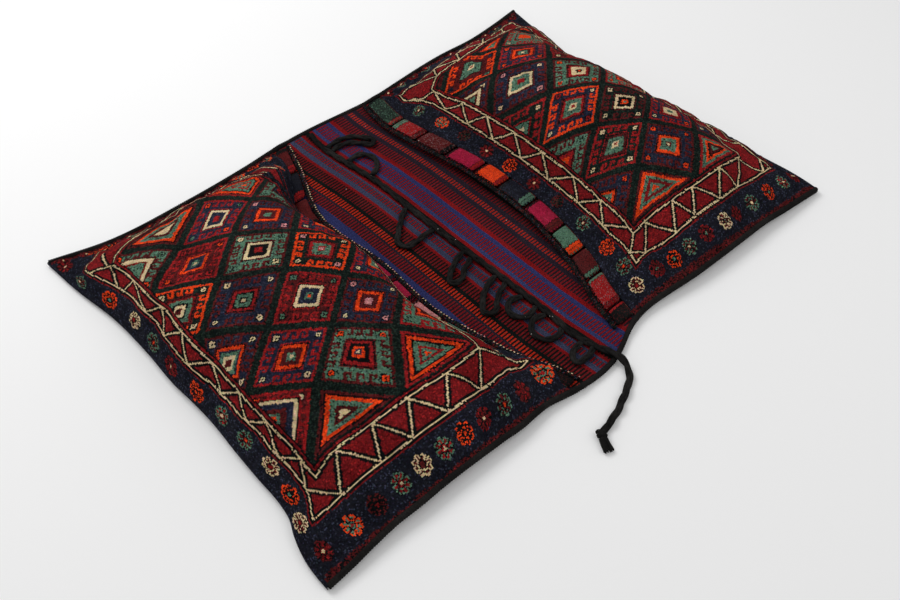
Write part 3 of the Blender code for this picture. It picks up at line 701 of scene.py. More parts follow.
# %% [markdown]
# A pocket's face is one surface over two shares: s from the end fold to the mouth and t from the
# near edge to the far edge. It is made like the CAD solid's outside, from the same sections, but on
# the outline above, and with one small quad for every knot of the pile, so that the pattern can be
# knotted in, quad by quad.

# %% Pocket surface
KNOT = 0.0026


def profile(points, run):
    """A section by its own length: two functions of a share, giving place and rise."""
    p = np.array(points, float)
    chord = np.hypot(np.diff(p[:, 0]) * run, np.diff(p[:, 1]) * CROWN_RISE)
    place = np.concatenate([[0], np.cumsum(chord)])
    fine = np.linspace(0, place[-1], FINE_STATIONS)
    a, b = curve(list(zip(place, p[:, 0])))(fine), curve(list(zip(place, p[:, 1])))(fine)
    length = np.concatenate([[0], np.cumsum(np.hypot(np.diff(a) * run, np.diff(b) * CROWN_RISE))])
    share = length / length[-1]
    return (lambda k: np.interp(k, share, a)), (lambda k: np.interp(k, share, b))


def pocket_points(end, mouth, section, span, s, t):
    """Points of the outside of a pile face at the shares s (rows) and t (columns)."""
    along, rise_along = profile(section, POCKET_DEPTH)
    across, rise_across = profile(span, CLOTH_WIDTH)
    inner = np.clip(past_rim(t), 0, 1)
    on_rim = (t < RIM) | (t > 1 - RIM)
    a, b = along(s)[:, None], rise_along(s)[:, None]
    c = np.where(on_rim, t, RIM + (1 - 2 * RIM) * across(inner))[None, :]
    h = np.where(on_rim, 0, rise_across(inner))[None, :]
    s, t = s[:, None], t[None, :]
    depth = s + (a - s) * np.clip(h * FLATTENING, 0, 1)
    width = t + (c - t) * np.clip(b * FLATTENING, 0, 1)
    x = end(width) + (mouth(width) - end(width)) * depth
    y = near(x) + (far(x) - near(x)) * width
    seam = arch(s) + arch(past_rim(t)) - arch(s) * arch(past_rim(t))
    z = SEAM_REST + SEAM_RISE * seam + GAP / 2 + RIM_THICK + CROWN_RISE * b * h
    return np.stack([x, y, z], -1)


# %% [markdown]
# Stiff pile puckers where it is sewn to its seams and rolls a little between them. A coarse copy
# of each face gets Blender's Cloth: slightly larger than its outline, pinned all round, with a
# light pressure from inside. The broad part of its movement is taken out again, so that only the
# pucker is left, and that is capped and carried over to the fine face.

# %% Cloth relaxation
CLOTH_ROWS, CLOTH_COLUMNS, CLOTH_FRAMES, CLOTH_CAP = 46, 74, 26, 0.011
START_BUMP = 0.0008                  # unevenness that the cloth starts from
# Cloth settings. A negative shrink makes the cloth larger than its outline
CLOTH_SETTINGS = {
    "quality": 6, "mass": 0.35, "tension_stiffness": 25, "compression_stiffness": 25,
    "shear_stiffness": 8, "bending_stiffness": 1.2, "vertex_group_mass": "sewn",
    "pin_stiffness": 2.0, "shrink_min": -0.022, "use_pressure": True,
    "uniform_pressure_force": 0.04, "air_damping": 6.0,
}


def relaxed(points, seed):
    """How far each point of a coarse face moves when its cloth settles."""
    rows, columns = points.shape[:2]
    bump = np.random.default_rng(seed).normal(0, START_BUMP, (rows, columns))
    bump[[0, -1]] = 0
    bump[:, [0, -1]] = 0
    start = points.copy()
    start[..., 2] += bump
    cloth = mesh_piece("cloth_trial", start.reshape(-1, 3), grid_faces(rows, columns), pile_wool)
    pins = cloth.vertex_groups.new(name="sewn")
    index = np.arange(rows * columns).reshape(rows, columns)
    edge = np.concatenate([index[0], index[-1], index[1:-1, 0], index[1:-1, -1]])
    pins.add([int(i) for i in edge], 1.0, "REPLACE")
    inner = np.concatenate([index[1, 1:-1], index[-2, 1:-1], index[2:-2, 1], index[2:-2, -2]])
    pins.add([int(i) for i in inner], 0.55, "REPLACE")
    modifier = cloth.modifiers.new("cloth", "CLOTH")
    for setting, value in CLOTH_SETTINGS.items():
        setattr(modifier.settings, setting, value)
    modifier.settings.effector_weights.gravity = 0.0
    modifier.point_cache.frame_start, modifier.point_cache.frame_end = 1, CLOTH_FRAMES
    scene = bpy.context.scene
    for step in range(1, CLOTH_FRAMES + 1):
        scene.frame_set(step)
    graph = bpy.context.evaluated_depsgraph_get()
    settled = np.empty(rows * columns * 3, np.float32)
    cloth.evaluated_get(graph).data.vertices.foreach_get("co", settled)
    bpy.data.objects.remove(cloth, do_unlink=True)
    scene.frame_set(1)
    moved = settled.reshape(rows, columns, 3) - points
    along, across = np.linspace(0, np.pi, rows), np.linspace(0, np.pi, columns)
    broad = np.stack([np.outer(np.sin(i * along), np.sin(j * across)).ravel() for i in (1, 2)
                      for j in (1, 2, 3)], 1)
    flat = moved.reshape(-1, 3)
    moved = (flat - broad @ np.linalg.lstsq(broad, flat, rcond=None)[0]).reshape(moved.shape)
    size = np.linalg.norm(moved, axis=-1, keepdims=True)
    moved *= np.tanh(size / CLOTH_CAP) * CLOTH_CAP / np.maximum(size, 1e-9)
    print("cloth moved", round(float(size.mean() * 1000), 2), "mm on average,",
          round(float(size.max() * 1000), 2), "at most before the cap")
    return moved


def spread_weights(count, places):
    """Weights that carry values at even coarse stations to finer places, smoothly."""
    stations = np.linspace(0, 1, count)
    return np.stack([curve(list(zip(stations, row)))(places) for row in np.eye(count)], 1)


# %% [markdown]
# The pattern. Woven borders are laid out by distance from the cloth's edges, and the field by a
# lattice: two lists say where its rows and columns cross, and a knot's place between them gives
# its square turned by 45 degrees. Inside each lozenge two wools lock together with hooks, round
# a ring with smaller lozenges in its four points. A knot only has to know how far it is from the
# lozenge's middle, so each motif is a few comparisons and a list of colours.

# %% Field motifs
# (outer wool, core wool, rings from the middle outward, small lozenges up and down, small ones aside)
LEFT_ROWS = [0.188, 0.295, 0.366, 0.440, 0.520, 0.602, 0.690, 0.780, 0.888]
LEFT_COLUMNS = [0.126, 0.225, 0.320, 0.405, 0.495, 0.590]
LEFT_MOTIFS = {
    (7, 0): ("maroon", "green", ((0.33, "green"), (0.40, "crimson"), (0.55, "cream")), "orange", "green"),
    (5, 0): ("orange", "ink", ((0.12, "maroon"), (0.23, "cream"), (0.30, "ink"), (0.44, "green"),
                               (0.52, "crimson")), "cream", "cream"),
    (3, 0): ("maroon", "navy", ((0.13, "maroon"), (0.24, "cream"), (0.37, "green"), (0.43, "navy"),
                                (0.53, "orange")), "cream", "cream"),
    (1, 0): ("red", "maroon", ((0.13, "orange"), (0.22, "green"), (0.38, "maroon"), (0.56, "navy"),
                               (0.66, "cream")), "orange", "cream"),
    (6, 1): ("red", "maroon", ((0.06, "cream"), (0.14, "green"), (0.31, "navy"), (0.42, "orange")), "red",
             "orange"),
    (4, 1): ("maroon", "navy", ((0.06, "cream"), (0.12, "ink"), (0.25, "green"), (0.30, "ink"),
                                (0.40, "red")), "cream", "cream"),
    (2, 1): ("red", "navy", ((0.07, "cream"), (0.15, "green"), (0.31, "maroon"), (0.42, "orange")), "cream",
             "cream"),
    (7, 2): ("red", "navy", ((0.12, "red"), (0.31, "navy"), (0.42, "cream")), "orange", "green"),
    (5, 2): ("maroon", "green", ((0.13, "red"), (0.31, "ink"), (0.42, "cream")), "cream", "green"),
    (3, 2): ("red", "maroon", ((0.05, "orange"), (0.13, "green"), (0.31, "navy"), (0.42, "cream")), "green",
             "green"),
    (1, 2): ("maroon", "green", ((0.05, "cream"), (0.10, "navy"), (0.18, "orange"), (0.31, "ink"),
                                 (0.42, "red")), "orange", "orange"),
    (6, 3): ("maroon", "navy", ((0.14, "green"), (0.31, "maroon"), (0.43, "orange")), "pink", "cream"),
    (4, 3): ("orange", "ink", ((0.07, "pink"), (0.13, "red"), (0.31, "green"), (0.43, "red")), "pink",
             "cream"),
    (2, 3): ("maroon", "navy", ((0.13, "pink"), (0.31, "maroon"), (0.43, "orange")), "pink", "cream"),
    (7, 4): ("maroon", "green", ((0.31, "red"), (0.42, "cream")), "cream", "green"),
    (5, 4): ("red", "navy", ((0.13, "cream"), (0.31, "green"), (0.42, "orange")), "orange", "cream"),
    (3, 4): ("red", "navy", ((0.13, "cream"), (0.31, "green"), (0.42, "orange")), "cream", "cream"),
    (1, 4): ("red", "green", ((0.31, "maroon"), (0.42, "orange")), "orange", "green"),
}
RIGHT_ROWS = [0.175, 0.270, 0.345, 0.411, 0.482, 0.552, 0.641, 0.726, 0.815, 0.885]
RIGHT_COLUMNS = [0.475, 0.348, 0.256, 0.166, 0.076]
RIGHT_MOTIFS = {
    (8, 1): ("orange", "maroon", ((0.06, "red"), (0.12, "cream"), (0.38, "green")), "green", "navy"),
    (7, 2): ("red", "navy", ((0.07, "cream"), (0.20, "green"), (0.30, "maroon"), (0.42, "orange")), "orange",
             "orange"),
    (6, 1): ("maroon", "navy", ((0.12, "red"), (0.32, "green"), (0.42, "cream")), "pink", "cream"),
    (5, 2): ("maroon", "green", ((0.05, "orange"), (0.12, "ink"), (0.29, "cream"), (0.40, "red")), "orange",
             "orange"),
    (4, 1): ("orange", "navy", ((0.07, "red"), (0.14, "cream"), (0.33, "green"), (0.43, "red")), "red",
             "cream"),
    (3, 2): ("maroon", "ink", ((0.06, "green"), (0.15, "orange"), (0.30, "ink"), (0.42, "cream")), "cream",
             "cream"),
    (2, 1): ("red", "ink", ((0.06, "red"), (0.13, "cream"), (0.34, "green"), (0.44, "maroon")), "cream",
             "cream"),
    (1, 2): ("maroon", "navy", ((0.05, "cream"), (0.10, "maroon"), (0.30, "green"), (0.42, "orange")),
             "orange", "orange"),
    (7, 0): ("maroon", "navy", ((0.20, "maroon"), (0.44, "green"), (0.53, "maroon"), (0.66, "cream")),
             "cream", "cream"),
    (5, 0): ("red", "ink", ((0.12, "navy"), (0.24, "cream"), (0.40, "green")), "cream", "cream"),
    (3, 0): ("maroon", "green", ((0.14, "green"), (0.27, "orange"), (0.42, "red")), "green", "green"),
    (1, 0): ("maroon", "navy", ((0.12, "ink"), (0.19, "cream"), (0.33, "green"), (0.42, "orange")), "orange",
             "orange"),
    (6, 3): ("red", "maroon", ((0.31, "green"), (0.42, "cream")), "orange", "cream"),
    (4, 3): ("red", "green", ((0.31, "maroon"), (0.42, "orange")), "orange", "orange"),
    (2, 3): ("red", "navy", ((0.14, "green"), (0.33, "cream"), (0.42, "red")), "orange", "cream"),
    (8, 3): ("red", "green", ((0.31, "orange"), (0.42, "green")), "orange", "cream"),
}
PLAIN_MOTIF = ("maroon", "navy", ((0.14, "cream"), (0.31, "green"), (0.42, "orange")), "cream", "cream")
# Nested wools of the half lozenges along the field's near and far edges, by depth in metres
STEPPED = {
    "left_1": ((0.005, "maroon"), (0.008, "ink"), (0.014, "orange"), (0.022, "green"), (0.028, "maroon"),
               (0.099, "cream")),
    "left_3": ((0.005, "red"), (0.008, "ink"), (0.014, "orange"), (0.017, "ink"), (0.024, "green"),
               (0.028, "red"), (0.033, "green"), (0.099, "orange")),
    "right_1": ((0.005, "maroon"), (0.011, "orange"), (0.017, "green"), (0.023, "crimson"), (0.028, "green"),
                (0.033, "orange"), (0.099, "navy")),
    "right_3": ((0.006, "red"), (0.012, "green"), (0.017, "orange"), (0.020, "ink"), (0.025, "maroon"),
                (0.030, "green"), (0.035, "orange"), (0.099, "ink")),
}

print("motifs", len(LEFT_MOTIFS) + len(RIGHT_MOTIFS))

# %% [markdown]
# A red strip between two cream lines frames each field, and a cream zigzag runs inside it. A
# weaver's lines aren't straight, so each is a curve through a few points. The lines beside the end
# and the mouth give u by v, those beside the near and far edges v by u. The outer line comes first.
# u is the distance from the end fold, and v the share of the width from the near edge.

# %% Border lines
BORDERS = {
    "left": {
        "end": ([(0, 0.056), (0.111, 0.056), (0.165, 0.084), (0.206, 0.091), (0.246, 0.090), (0.338, 0.081),
                 (0.422, 0.072), (0.519, 0.061), (0.601, 0.069), (0.679, 0.079), (0.772, 0.075),
                 (0.865, 0.064), (0.911, 0.058), (1, 0.056)],
                [(0, 0.115), (0.168, 0.115), (0.212, 0.121), (0.307, 0.117), (0.390, 0.108), (0.477, 0.100),
                 (0.568, 0.103), (0.656, 0.111), (0.767, 0.113), (0.845, 0.112), (1, 0.112)]),
        "mouth": ([(0, 0.590), (0.108, 0.585), (0.150, 0.550), (0.300, 0.538), (0.600, 0.538), (0.700, 0.525),
                   (0.776, 0.512), (0.830, 0.498), (0.880, 0.490), (1, 0.485)],
                  [(0, 0.492), (0.171, 0.493), (0.300, 0.500), (0.600, 0.505), (0.698, 0.503), (0.776, 0.493),
                   (0.830, 0.469), (0.900, 0.450), (1, 0.444)]),
        "near": ([(0, 0.109), (0.058, 0.109), (0.125, 0.108), (0.207, 0.107), (0.275, 0.104), (0.350, 0.103),
                  (0.433, 0.104), (0.600, 0.106)],
                 [(0, 0.168), (0.116, 0.168), (0.171, 0.177), (0.245, 0.175), (0.323, 0.171), (0.399, 0.167),
                  (0.491, 0.173), (0.600, 0.175)]),
        "far": ([(0, 0.907), (0.058, 0.907), (0.076, 0.922), (0.096, 0.952), (0.118, 0.970), (0.140, 0.974),
                 (0.320, 0.970), (0.420, 0.960), (0.480, 0.930), (0.600, 0.930)],
                [(0, 0.845), (0.112, 0.845), (0.125, 0.864), (0.140, 0.877), (0.165, 0.894), (0.188, 0.903),
                 (0.233, 0.913), (0.300, 0.912), (0.375, 0.915), (0.416, 0.904), (0.433, 0.891),
                 (0.451, 0.867), (0.468, 0.835), (0.600, 0.820)])},
    "right": {
        "end": ([(0, 0.050), (1, 0.050)],
                [(0, 0.100), (0.7, 0.115), (0.770, 0.111), (0.803, 0.098), (0.893, 0.081), (1, 0.080)]),
        "mouth": ([(0, 0.500), (0.098, 0.500), (0.131, 0.498), (0.222, 0.515), (0.313, 0.521), (0.418, 0.526),
                   (0.513, 0.525), (0.609, 0.520), (0.699, 0.510), (0.784, 0.500), (0.864, 0.508),
                   (0.908, 0.529), (1, 0.535)],
                  [(0, 0.465), (0.184, 0.465), (0.282, 0.477), (0.375, 0.482), (0.470, 0.485), (0.564, 0.480),
                   (0.659, 0.472), (0.754, 0.460), (0.856, 0.465), (1, 0.465)]),
        "near": ([(0, 0.108), (0.082, 0.107), (0.175, 0.106), (0.251, 0.102), (0.326, 0.098), (0.384, 0.095),
                  (0.420, 0.096), (0.466, 0.104), (0.497, 0.097), (0.575, 0.097)],
                 [(0, 0.178), (0.034, 0.178), (0.114, 0.170), (0.202, 0.165), (0.244, 0.162), (0.342, 0.160),
                  (0.382, 0.165), (0.424, 0.166), (0.465, 0.162), (0.575, 0.162)]),
        "far": ([(0, 0.965), (0.109, 0.965), (0.211, 0.950), (0.331, 0.918), (0.435, 0.922), (0.497, 0.945),
                 (0.575, 0.950)],
                [(0, 0.893), (0.081, 0.893), (0.184, 0.884), (0.266, 0.875), (0.345, 0.868), (0.422, 0.878),
                 (0.465, 0.858), (0.575, 0.850)])},
}
# The zigzags between the two lines, as (u, v) from corner to corner
ZIGZAGS = {
    "left": [[(0.064, 0.873), (0.108, 0.850), (0.076, 0.794)],
             [(0.075, 0.772), (0.113, 0.767), (0.079, 0.672), (0.110, 0.650), (0.068, 0.596), (0.103, 0.562),
              (0.061, 0.513), (0.100, 0.472), (0.073, 0.416), (0.108, 0.385), (0.082, 0.333), (0.116, 0.301),
              (0.090, 0.240), (0.121, 0.208), (0.083, 0.166), (0.125, 0.112), (0.172, 0.174), (0.208, 0.108),
              (0.245, 0.173), (0.276, 0.105), (0.320, 0.168), (0.352, 0.104), (0.401, 0.165), (0.434, 0.105),
              (0.493, 0.171), (0.550, 0.145), (0.588, 0.108)],
             [(0.104, 0.858), (0.128, 0.972), (0.186, 0.902), (0.215, 0.972), (0.300, 0.913), (0.335, 0.968),
              (0.416, 0.904), (0.445, 0.948), (0.468, 0.835)]],
    "right": [[(0.529, 0.908), (0.500, 0.864), (0.465, 0.848), (0.496, 0.788), (0.464, 0.752), (0.507, 0.701),
               (0.473, 0.658), (0.518, 0.613), (0.481, 0.565), (0.524, 0.516), (0.486, 0.470), (0.526, 0.418),
               (0.484, 0.372), (0.521, 0.316), (0.478, 0.279), (0.515, 0.224), (0.467, 0.184)],
              [(0.466, 0.161), (0.496, 0.130), (0.467, 0.106), (0.424, 0.163), (0.382, 0.098), (0.343, 0.158),
               (0.324, 0.102), (0.285, 0.159), (0.250, 0.104), (0.202, 0.164), (0.177, 0.108), (0.113, 0.168),
               (0.080, 0.109), (0.022, 0.172)],
              [(0.109, 0.965), (0.184, 0.884), (0.211, 0.950), (0.266, 0.875), (0.322, 0.922), (0.347, 0.868),
               (0.405, 0.921), (0.422, 0.878), (0.497, 0.945)]],
}
HIDDEN_TURNS = 14                    # turns of the zigzags out of the photograph's sight
print("zigzag points", {side: sum(len(chain) for chain in chains) for side, chains in ZIGZAGS.items()})

# %% [markdown]
# Outside the strip small eight-petalled flowers stand on the dark ground, each knotted from three
# wools. A list says where they sit. Those out of the photograph's sight are set evenly, and take
# their wools from the same list.

# %% Border flowers
# (u, v, outline, petals, middle, size)
FLOWERS = {
    "left": [
        (0.019, 0.961, "maroon", "crimson", "cream", 1), (0.025, 0.883, "green", "maroon", "cream", 1),
        (0.033, 0.791, "orange", "ink", "green", 1.1), (0.042, 0.699, "cream", "maroon", "red", 0.97),
        (0.031, 0.627, "green", "maroon", "orange", 1), (0.023, 0.553, "crimson", "maroon", "cream", 1),
        (0.027, 0.472, "orange", "ink", "orange", 1), (0.039, 0.390, "green", "crimson", "cream", 1),
        (0.047, 0.316, "green", "maroon", "orange", 1), (0.058, 0.241, "cream", "maroon", "red", 0.97),
        (0.048, 0.178, "orange", "ink", "green", 1), (0.026, 0.123, "cream", "maroon", "red", 1),
        (0.030, 0.055, "maroon", "crimson", "cream", 1), (0.101, 0.056, "orange", "green", "red", 1),
        (0.154, 0.054, "maroon", "ink", "crimson", 1), (0.209, 0.056, "green", "crimson", "cream", 1),
        (0.258, 0.057, "cream", "maroon", "maroon", 1), (0.306, 0.056, "green", "red", "cream", 1),
        (0.352, 0.056, "orange", "ink", "orange", 1), (0.399, 0.056, "crimson", "maroon", "cream", 1),
        (0.449, 0.056, "green", "maroon", "orange", 1), (0.500, 0.055, "maroon", "crimson", "maroon", 1),
        (0.578, 0.068, "orange", "green", "red", 1.2), (0.525, 0.888, "orange", "green", "orange", 1),
        (0.094, 0.980, "orange", "ink", "orange", 0.8), (0.560, 0.160, "green", "maroon", "cream", 1),
        (0.567, 0.240, "orange", "ink", "green", 1), (0.567, 0.320, "crimson", "maroon", "cream", 1),
        (0.567, 0.400, "cream", "maroon", "red", 1), (0.567, 0.480, "green", "maroon", "orange", 1),
        (0.567, 0.560, "orange", "ink", "green", 1), (0.567, 0.640, "crimson", "maroon", "cream", 1)],
    "right": [
        (0.470, 0.055, "crimson", "maroon", "green", 1.05), (0.424, 0.050, "orange", "ink", "green", 1),
        (0.379, 0.052, "green", "maroon", "cream", 1), (0.329, 0.054, "crimson", "maroon", "green", 1),
        (0.273, 0.055, "cream", "maroon", "green", 1.0), (0.231, 0.055, "maroon", "crimson", "maroon", 0.95),
        (0.179, 0.058, "green", "maroon", "cream", 1), (0.120, 0.059, "orange", "maroon", "green", 1.05),
        (0.062, 0.061, "green", "crimson", "cream", 1.05), (0.008, 0.061, "crimson", "maroon", "cream", 1),
        (0.537, 0.851, "green", "maroon", "cream", 0.95), (0.536, 0.769, "orange", "green", "orange", 0.95),
        (0.541, 0.688, "maroon", "dark_green", "crimson", 0.9),
        (0.552, 0.606, "maroon", "crimson", "cream", 0.95), (0.553, 0.526, "orange", "ink", "orange", 0.95),
        (0.555, 0.441, "maroon", "crimson", "cream", 0.9),
        (0.552, 0.359, "maroon", "dark_green", "maroon", 0.85),
        (0.545, 0.265, "green", "maroon", "cream", 0.95), (0.537, 0.177, "orange", "maroon", "orange", 1.05),
        (0.527, 0.113, "green", "maroon", "orange", 1.05),
        (0.530, 0.055, "cream", "maroon", "red", 1)],
}
FLOWER_SIZE = (0.0205, 0.0220)       # half widths along u and v
NEAR_FLOWER_WIDTH, RIGHT_FLOWER_SIZE = 0.86, 0.93
HIDDEN_FLOWERS = 12                  # flowers along each band out of the photograph's sight
print("flowers", {side: len(places) for side, places in FLOWERS.items()})

# %% [markdown]
# Now the rules that turn these lists into wools. Each function gets the places of all knots at once
# and writes the number of a wool for each, later motifs over earlier ones. Knot places are jittered
# a little first, so that no line is quite straight, and a few knots stray to another wool.

# %% Pattern rules
LINE, SHADOW = 0.0015, 0.0066        # half widths of a cream line and of the dark beside it
FIELD_EDGE, FIELD_LINE = 0.0125, (0.0055, 0.0095)      # dark edge of the field and the red line in it
OUTER_LINE = 0.0028                  # red line outside the dark of the outer cream line
LOZENGE_HALF = 0.0604                # a lozenge's middle to its side
# Inside a lozenge, places are shares of that half: 0 in its middle, 1 at its side
LATTICE_EDGE, OUTER_FROM, SMALL_MIDDLE, RING_LINES = 0.885, 0.805, 0.655, (0.075, 0.035)
RING_SHARE, ASIDE_SHARE = 0.92, 0.8  # sizes against those in the lists
# Three latch hooks stand on each side's border: a stem, a bar across its foot and a barb. Each is
# given from low to high along the side, then from low to high outward
HOOK_MIDDLES = (-0.30, 0.0, 0.30)
HOOK_STROKES = ((-0.045, 0.045, 0.60, 9), (-0.045, 0.165, 0.585, 0.655), (0.100, 0.165, 0.585, 0.735))
KNOT_JITTER = 0.0004
LOST_LINES = (0.44, 0.60, 0.87)      # where the left far crest is worn: from this u, between these v
NEAR_MOTTLE, FAR_MOTTLE = (0.0175, 0.0205), 0.014      # width of the mottled edge lines
# A few knots of each wool are of another: (wool, its neighbour, share)
STRAYS = (("green", "dark_green", 0.15), ("red", "maroon", 0.13), ("crimson", "red", 0.14),
          ("maroon", "ink", 0.14), ("navy", "slate", 0.22), ("orange", "red", 0.06),
          ("lattice", "dark_green", 0.30), ("navy_ground", "slate", 0.12), ("dark_green", "ink", 0.22))


def chain_distance(p, q, chain):
    """Distance from points (p, q) to a chain of straight runs."""
    nearest = np.full(p.shape, 9.0)
    for (a, b), (c, d) in zip(chain[:-1], chain[1:]):
        du, dv = c - a, d - b
        k = np.clip(((p - a) * du + (q - b) * dv) / (du**2 + dv**2 + 1e-12), 0, 1)
        nearest = np.minimum(nearest, np.hypot(p - a - k * du, q - b - k * dv))
    return nearest


def border_depth(side, line, u, v):
    """How far inside a face's outer (0) or inner (1) border line each knot is."""
    end, mouth, near_edge, far_edge = (curve(BORDERS[side][name][line])
                                       for name in ("end", "mouth", "near", "far"))
    return np.minimum(np.minimum(u - end(v), mouth(v) - u), np.minimum(v - near_edge(u), far_edge(u) - v))


def hidden_zigzag(side):
    """The zigzag of the border out of sight: beside the left mouth or the right end."""
    outer, inner = (curve(points) for points in BORDERS[side]["mouth" if side == "left" else "end"])
    stations = np.linspace(0.20, 0.82, HIDDEN_TURNS)
    return [(float((inner if k % 2 else outer)(v)), float(v)) for k, v in enumerate(stations)]


def knot_field(which, u, v, rows, columns, motifs, stepped, edge_depth):
    """The lattice of hooked lozenges."""
    row_run = np.concatenate([[2 * rows[0] - rows[1]], rows, [2 * rows[-1] - rows[-2]]])
    column_run = np.array([2 * columns[0] - columns[1], *columns, 2 * columns[-1] - columns[-2]])
    r = np.interp(v, row_run, np.arange(-1, len(rows) + 1))
    order = np.argsort(column_run)
    c = np.interp(u, column_run[order], np.arange(-1, len(columns) + 1)[order])
    first, second = r + c - 1, r - c - 1
    near_first, near_second = np.round(first / 2) * 2, np.round(second / 2) * 2
    e1, e2 = first - near_first, second - near_second
    row = ((near_first + near_second) / 2 + 1).astype(int)
    column = ((near_first - near_second) / 2).astype(int)
    out_to = np.maximum(np.abs(e1), np.abs(e2))
    which[:] = wool("lattice")
    inside = out_to < LATTICE_EDGE
    small = np.maximum(np.abs(np.abs(e1) - SMALL_MIDDLE), np.abs(np.abs(e2) - SMALL_MIDDLE))
    upright = e1 * e2 > 0
    signed = np.where(np.abs(e1) > np.abs(e2), e2 * np.sign(e1), -e1 * np.sign(e2))
    hooks = np.zeros(u.shape, bool)
    for middle in HOOK_MIDDLES:
        for low, high, out_from, out_until in HOOK_STROKES:
            hooks |= ((signed - middle > low) & (signed - middle < high)
                      & (out_to > out_from) & (out_to < out_until))
    for key in sorted({(int(a), int(b)) for a, b in zip(row[inside], column[inside])}):
        here = inside & (row == key[0]) & (column == key[1])
        if key[0] in (0, len(rows) - 1):
            depth = np.minimum((LATTICE_EDGE - out_to) * LOZENGE_HALF, edge_depth - 0.015)
            layers = stepped[1 if key[1] % 4 == 3 else 0]
            for limit, name in reversed(layers):
                which[here & (depth < limit)] = wool(name)
            which[here & (depth < 0)] = wool("lattice")
            continue
        outer, core, rings, upright_small, aside_small = motifs.get(key, PLAIN_MOTIF)
        ground = "lattice" if core == "ink" else core
        which[here] = wool(ground)
        which[here & (hooks | (out_to > OUTER_FROM))] = wool(outer)
        for limit, name in ((0.150, ground), (0.112, "ink"), (0.084, None), (0.034, "ink")):
            which[here & (small < limit) & upright] = wool(name or upright_small)
            which[here & (small < limit * ASIDE_SHARE) & ~upright] = wool(name or aside_small)
        ring = rings[-1][0] * RING_SHARE
        which[here & (out_to < ring + RING_LINES[0])] = wool("maroon" if outer == "orange" else outer)
        which[here & (out_to < ring + RING_LINES[1])] = wool("ink")
        for limit, name in reversed(rings):
            which[here & (out_to < limit * RING_SHARE)] = wool(name)


def knot_flower(which, u, v, cu, cv, wools, size):
    """An eight-petalled flower at (cu, cv): a broken ring, dark petals with spokes and a middle."""
    narrow = NEAR_FLOWER_WIDTH if cv < 0.08 else 1.0
    x, y = (u - cu) / (FLOWER_SIZE[0] * size * narrow), (v - cv) / (FLOWER_SIZE[1] * size)
    close = (np.abs(x) < 1.1) & (np.abs(y) < 1.1)
    x, y = x[close], y[close]
    out_to, lobe = np.hypot(x, y), np.abs(np.cos(4 * np.arctan2(y, x)))
    part = which[close]
    outline, petals, middle = (wool(name) for name in wools)
    part[out_to < 0.96] = wool("ink")
    part[(out_to < 0.86 + 0.14 * lobe) & (out_to > 0.38) & (lobe > 0.36)] = outline
    part[(out_to < 0.82) & (out_to > 0.44) & (lobe > 0.74)] = petals
    part[(out_to < 0.30) & (out_to > 0.17)] = petals
    part[out_to < 0.17] = middle
    which[close] = part


def knot_pattern(u, v, long, side):
    """The wool of every knot of a face. u runs from the end fold, v from the near edge."""
    left = side == "left"
    u, v = u + draw.normal(0, KNOT_JITTER, u.shape), v + draw.normal(0, KNOT_JITTER, v.shape)
    outer, inner = border_depth(side, 0, u, v), border_depth(side, 1, u, v)
    which = np.full(u.shape, wool("navy_ground"))
    field = inner > 0
    part = which[field]
    lattice = (LEFT_ROWS, LEFT_COLUMNS, LEFT_MOTIFS) if left else (RIGHT_ROWS, RIGHT_COLUMNS, RIGHT_MOTIFS)
    bow = 0 if left else 0.010 * np.sin(np.pi * v[field])
    knot_field(part, u[field] - bow, v[field], *lattice, (STEPPED[side + "_1"], STEPPED[side + "_3"]),
               inner[field])
    which[field] = part
    which[field & (inner < FIELD_EDGE)] = wool("ink")
    which[field & (inner >= FIELD_LINE[0]) & (inner < FIELD_LINE[1])] = wool("crimson")
    strip = (outer > 0) & ~field
    which[strip] = wool("crimson")
    which[strip & ((outer < SHADOW) | (inner > -SHADOW))] = wool("ink")
    chains = [*ZIGZAGS[side], hidden_zigzag(side)]
    part, pu, pv = which[strip], u[strip], v[strip]
    gaps = np.min([chain_distance(pu, pv, chain) for chain in chains], 0)
    part[(gaps < SHADOW) & (part == wool("crimson"))] = wool("ink")
    part[gaps < LINE] = wool("cream")
    which[strip] = part
    which[(np.abs(outer) < LINE) | (np.abs(inner) < LINE)] = wool("cream")
    which[(outer < -LINE) & (outer > -SHADOW)] = wool("ink")
    which[(outer < -SHADOW) & (outer > -SHADOW - OUTER_LINE)] = wool("crimson")
    if left:
        # Past the crest of the far corner the border's lines are worn to the ground
        lost = ((u > LOST_LINES[0]) & (v > LOST_LINES[1]) & (v < LOST_LINES[2])
                & (which == wool("cream")))
        which[lost] = np.where(draw.random(int(lost.sum())) < 0.3, wool("slate"), wool("navy_ground"))
    flowers = FLOWERS[side]
    for k in range(HIDDEN_FLOWERS):
        spare = flowers[(k * 5) % len(flowers)][2:5]
        along = (k + 0.5) / HIDDEN_FLOWERS
        knot_flower(which, u, v, long * along, 0.984, spare, 0.75)
        if not left:
            knot_flower(which, u, v, 0.022, 0.10 + 0.80 * along, spare, 1)
    for cu, cv, *wools, size in flowers:
        knot_flower(which, u, v, cu, cv, wools, size * (1.0 if left else RIGHT_FLOWER_SIZE))
    chance = draw.random(u.shape)
    mottled = (v < NEAR_MOTTLE[1]) & ((v < NEAR_MOTTLE[0]) | (chance < 0.5)) | (v > 1.0 - FAR_MOTTLE)
    which[mottled] = np.where(chance[mottled] < 0.70, wool("maroon"),
                              np.where(chance[mottled] < 0.97, wool("ink"), wool("crimson")))
    which[u < 0.0015] = wool("navy_ground")
    strayed = which.copy()
    for name, mate, share in STRAYS:
        strayed[(which == wool(name)) & (draw.random(u.shape) < share)] = wool(mate)
    return strayed


# %% [markdown]
# Each face: the fold that turns under the end, the surface itself, and the mouth's edge turned in
# to the cloth's thickness. The rows past 0 and past 1 are those turned edges.

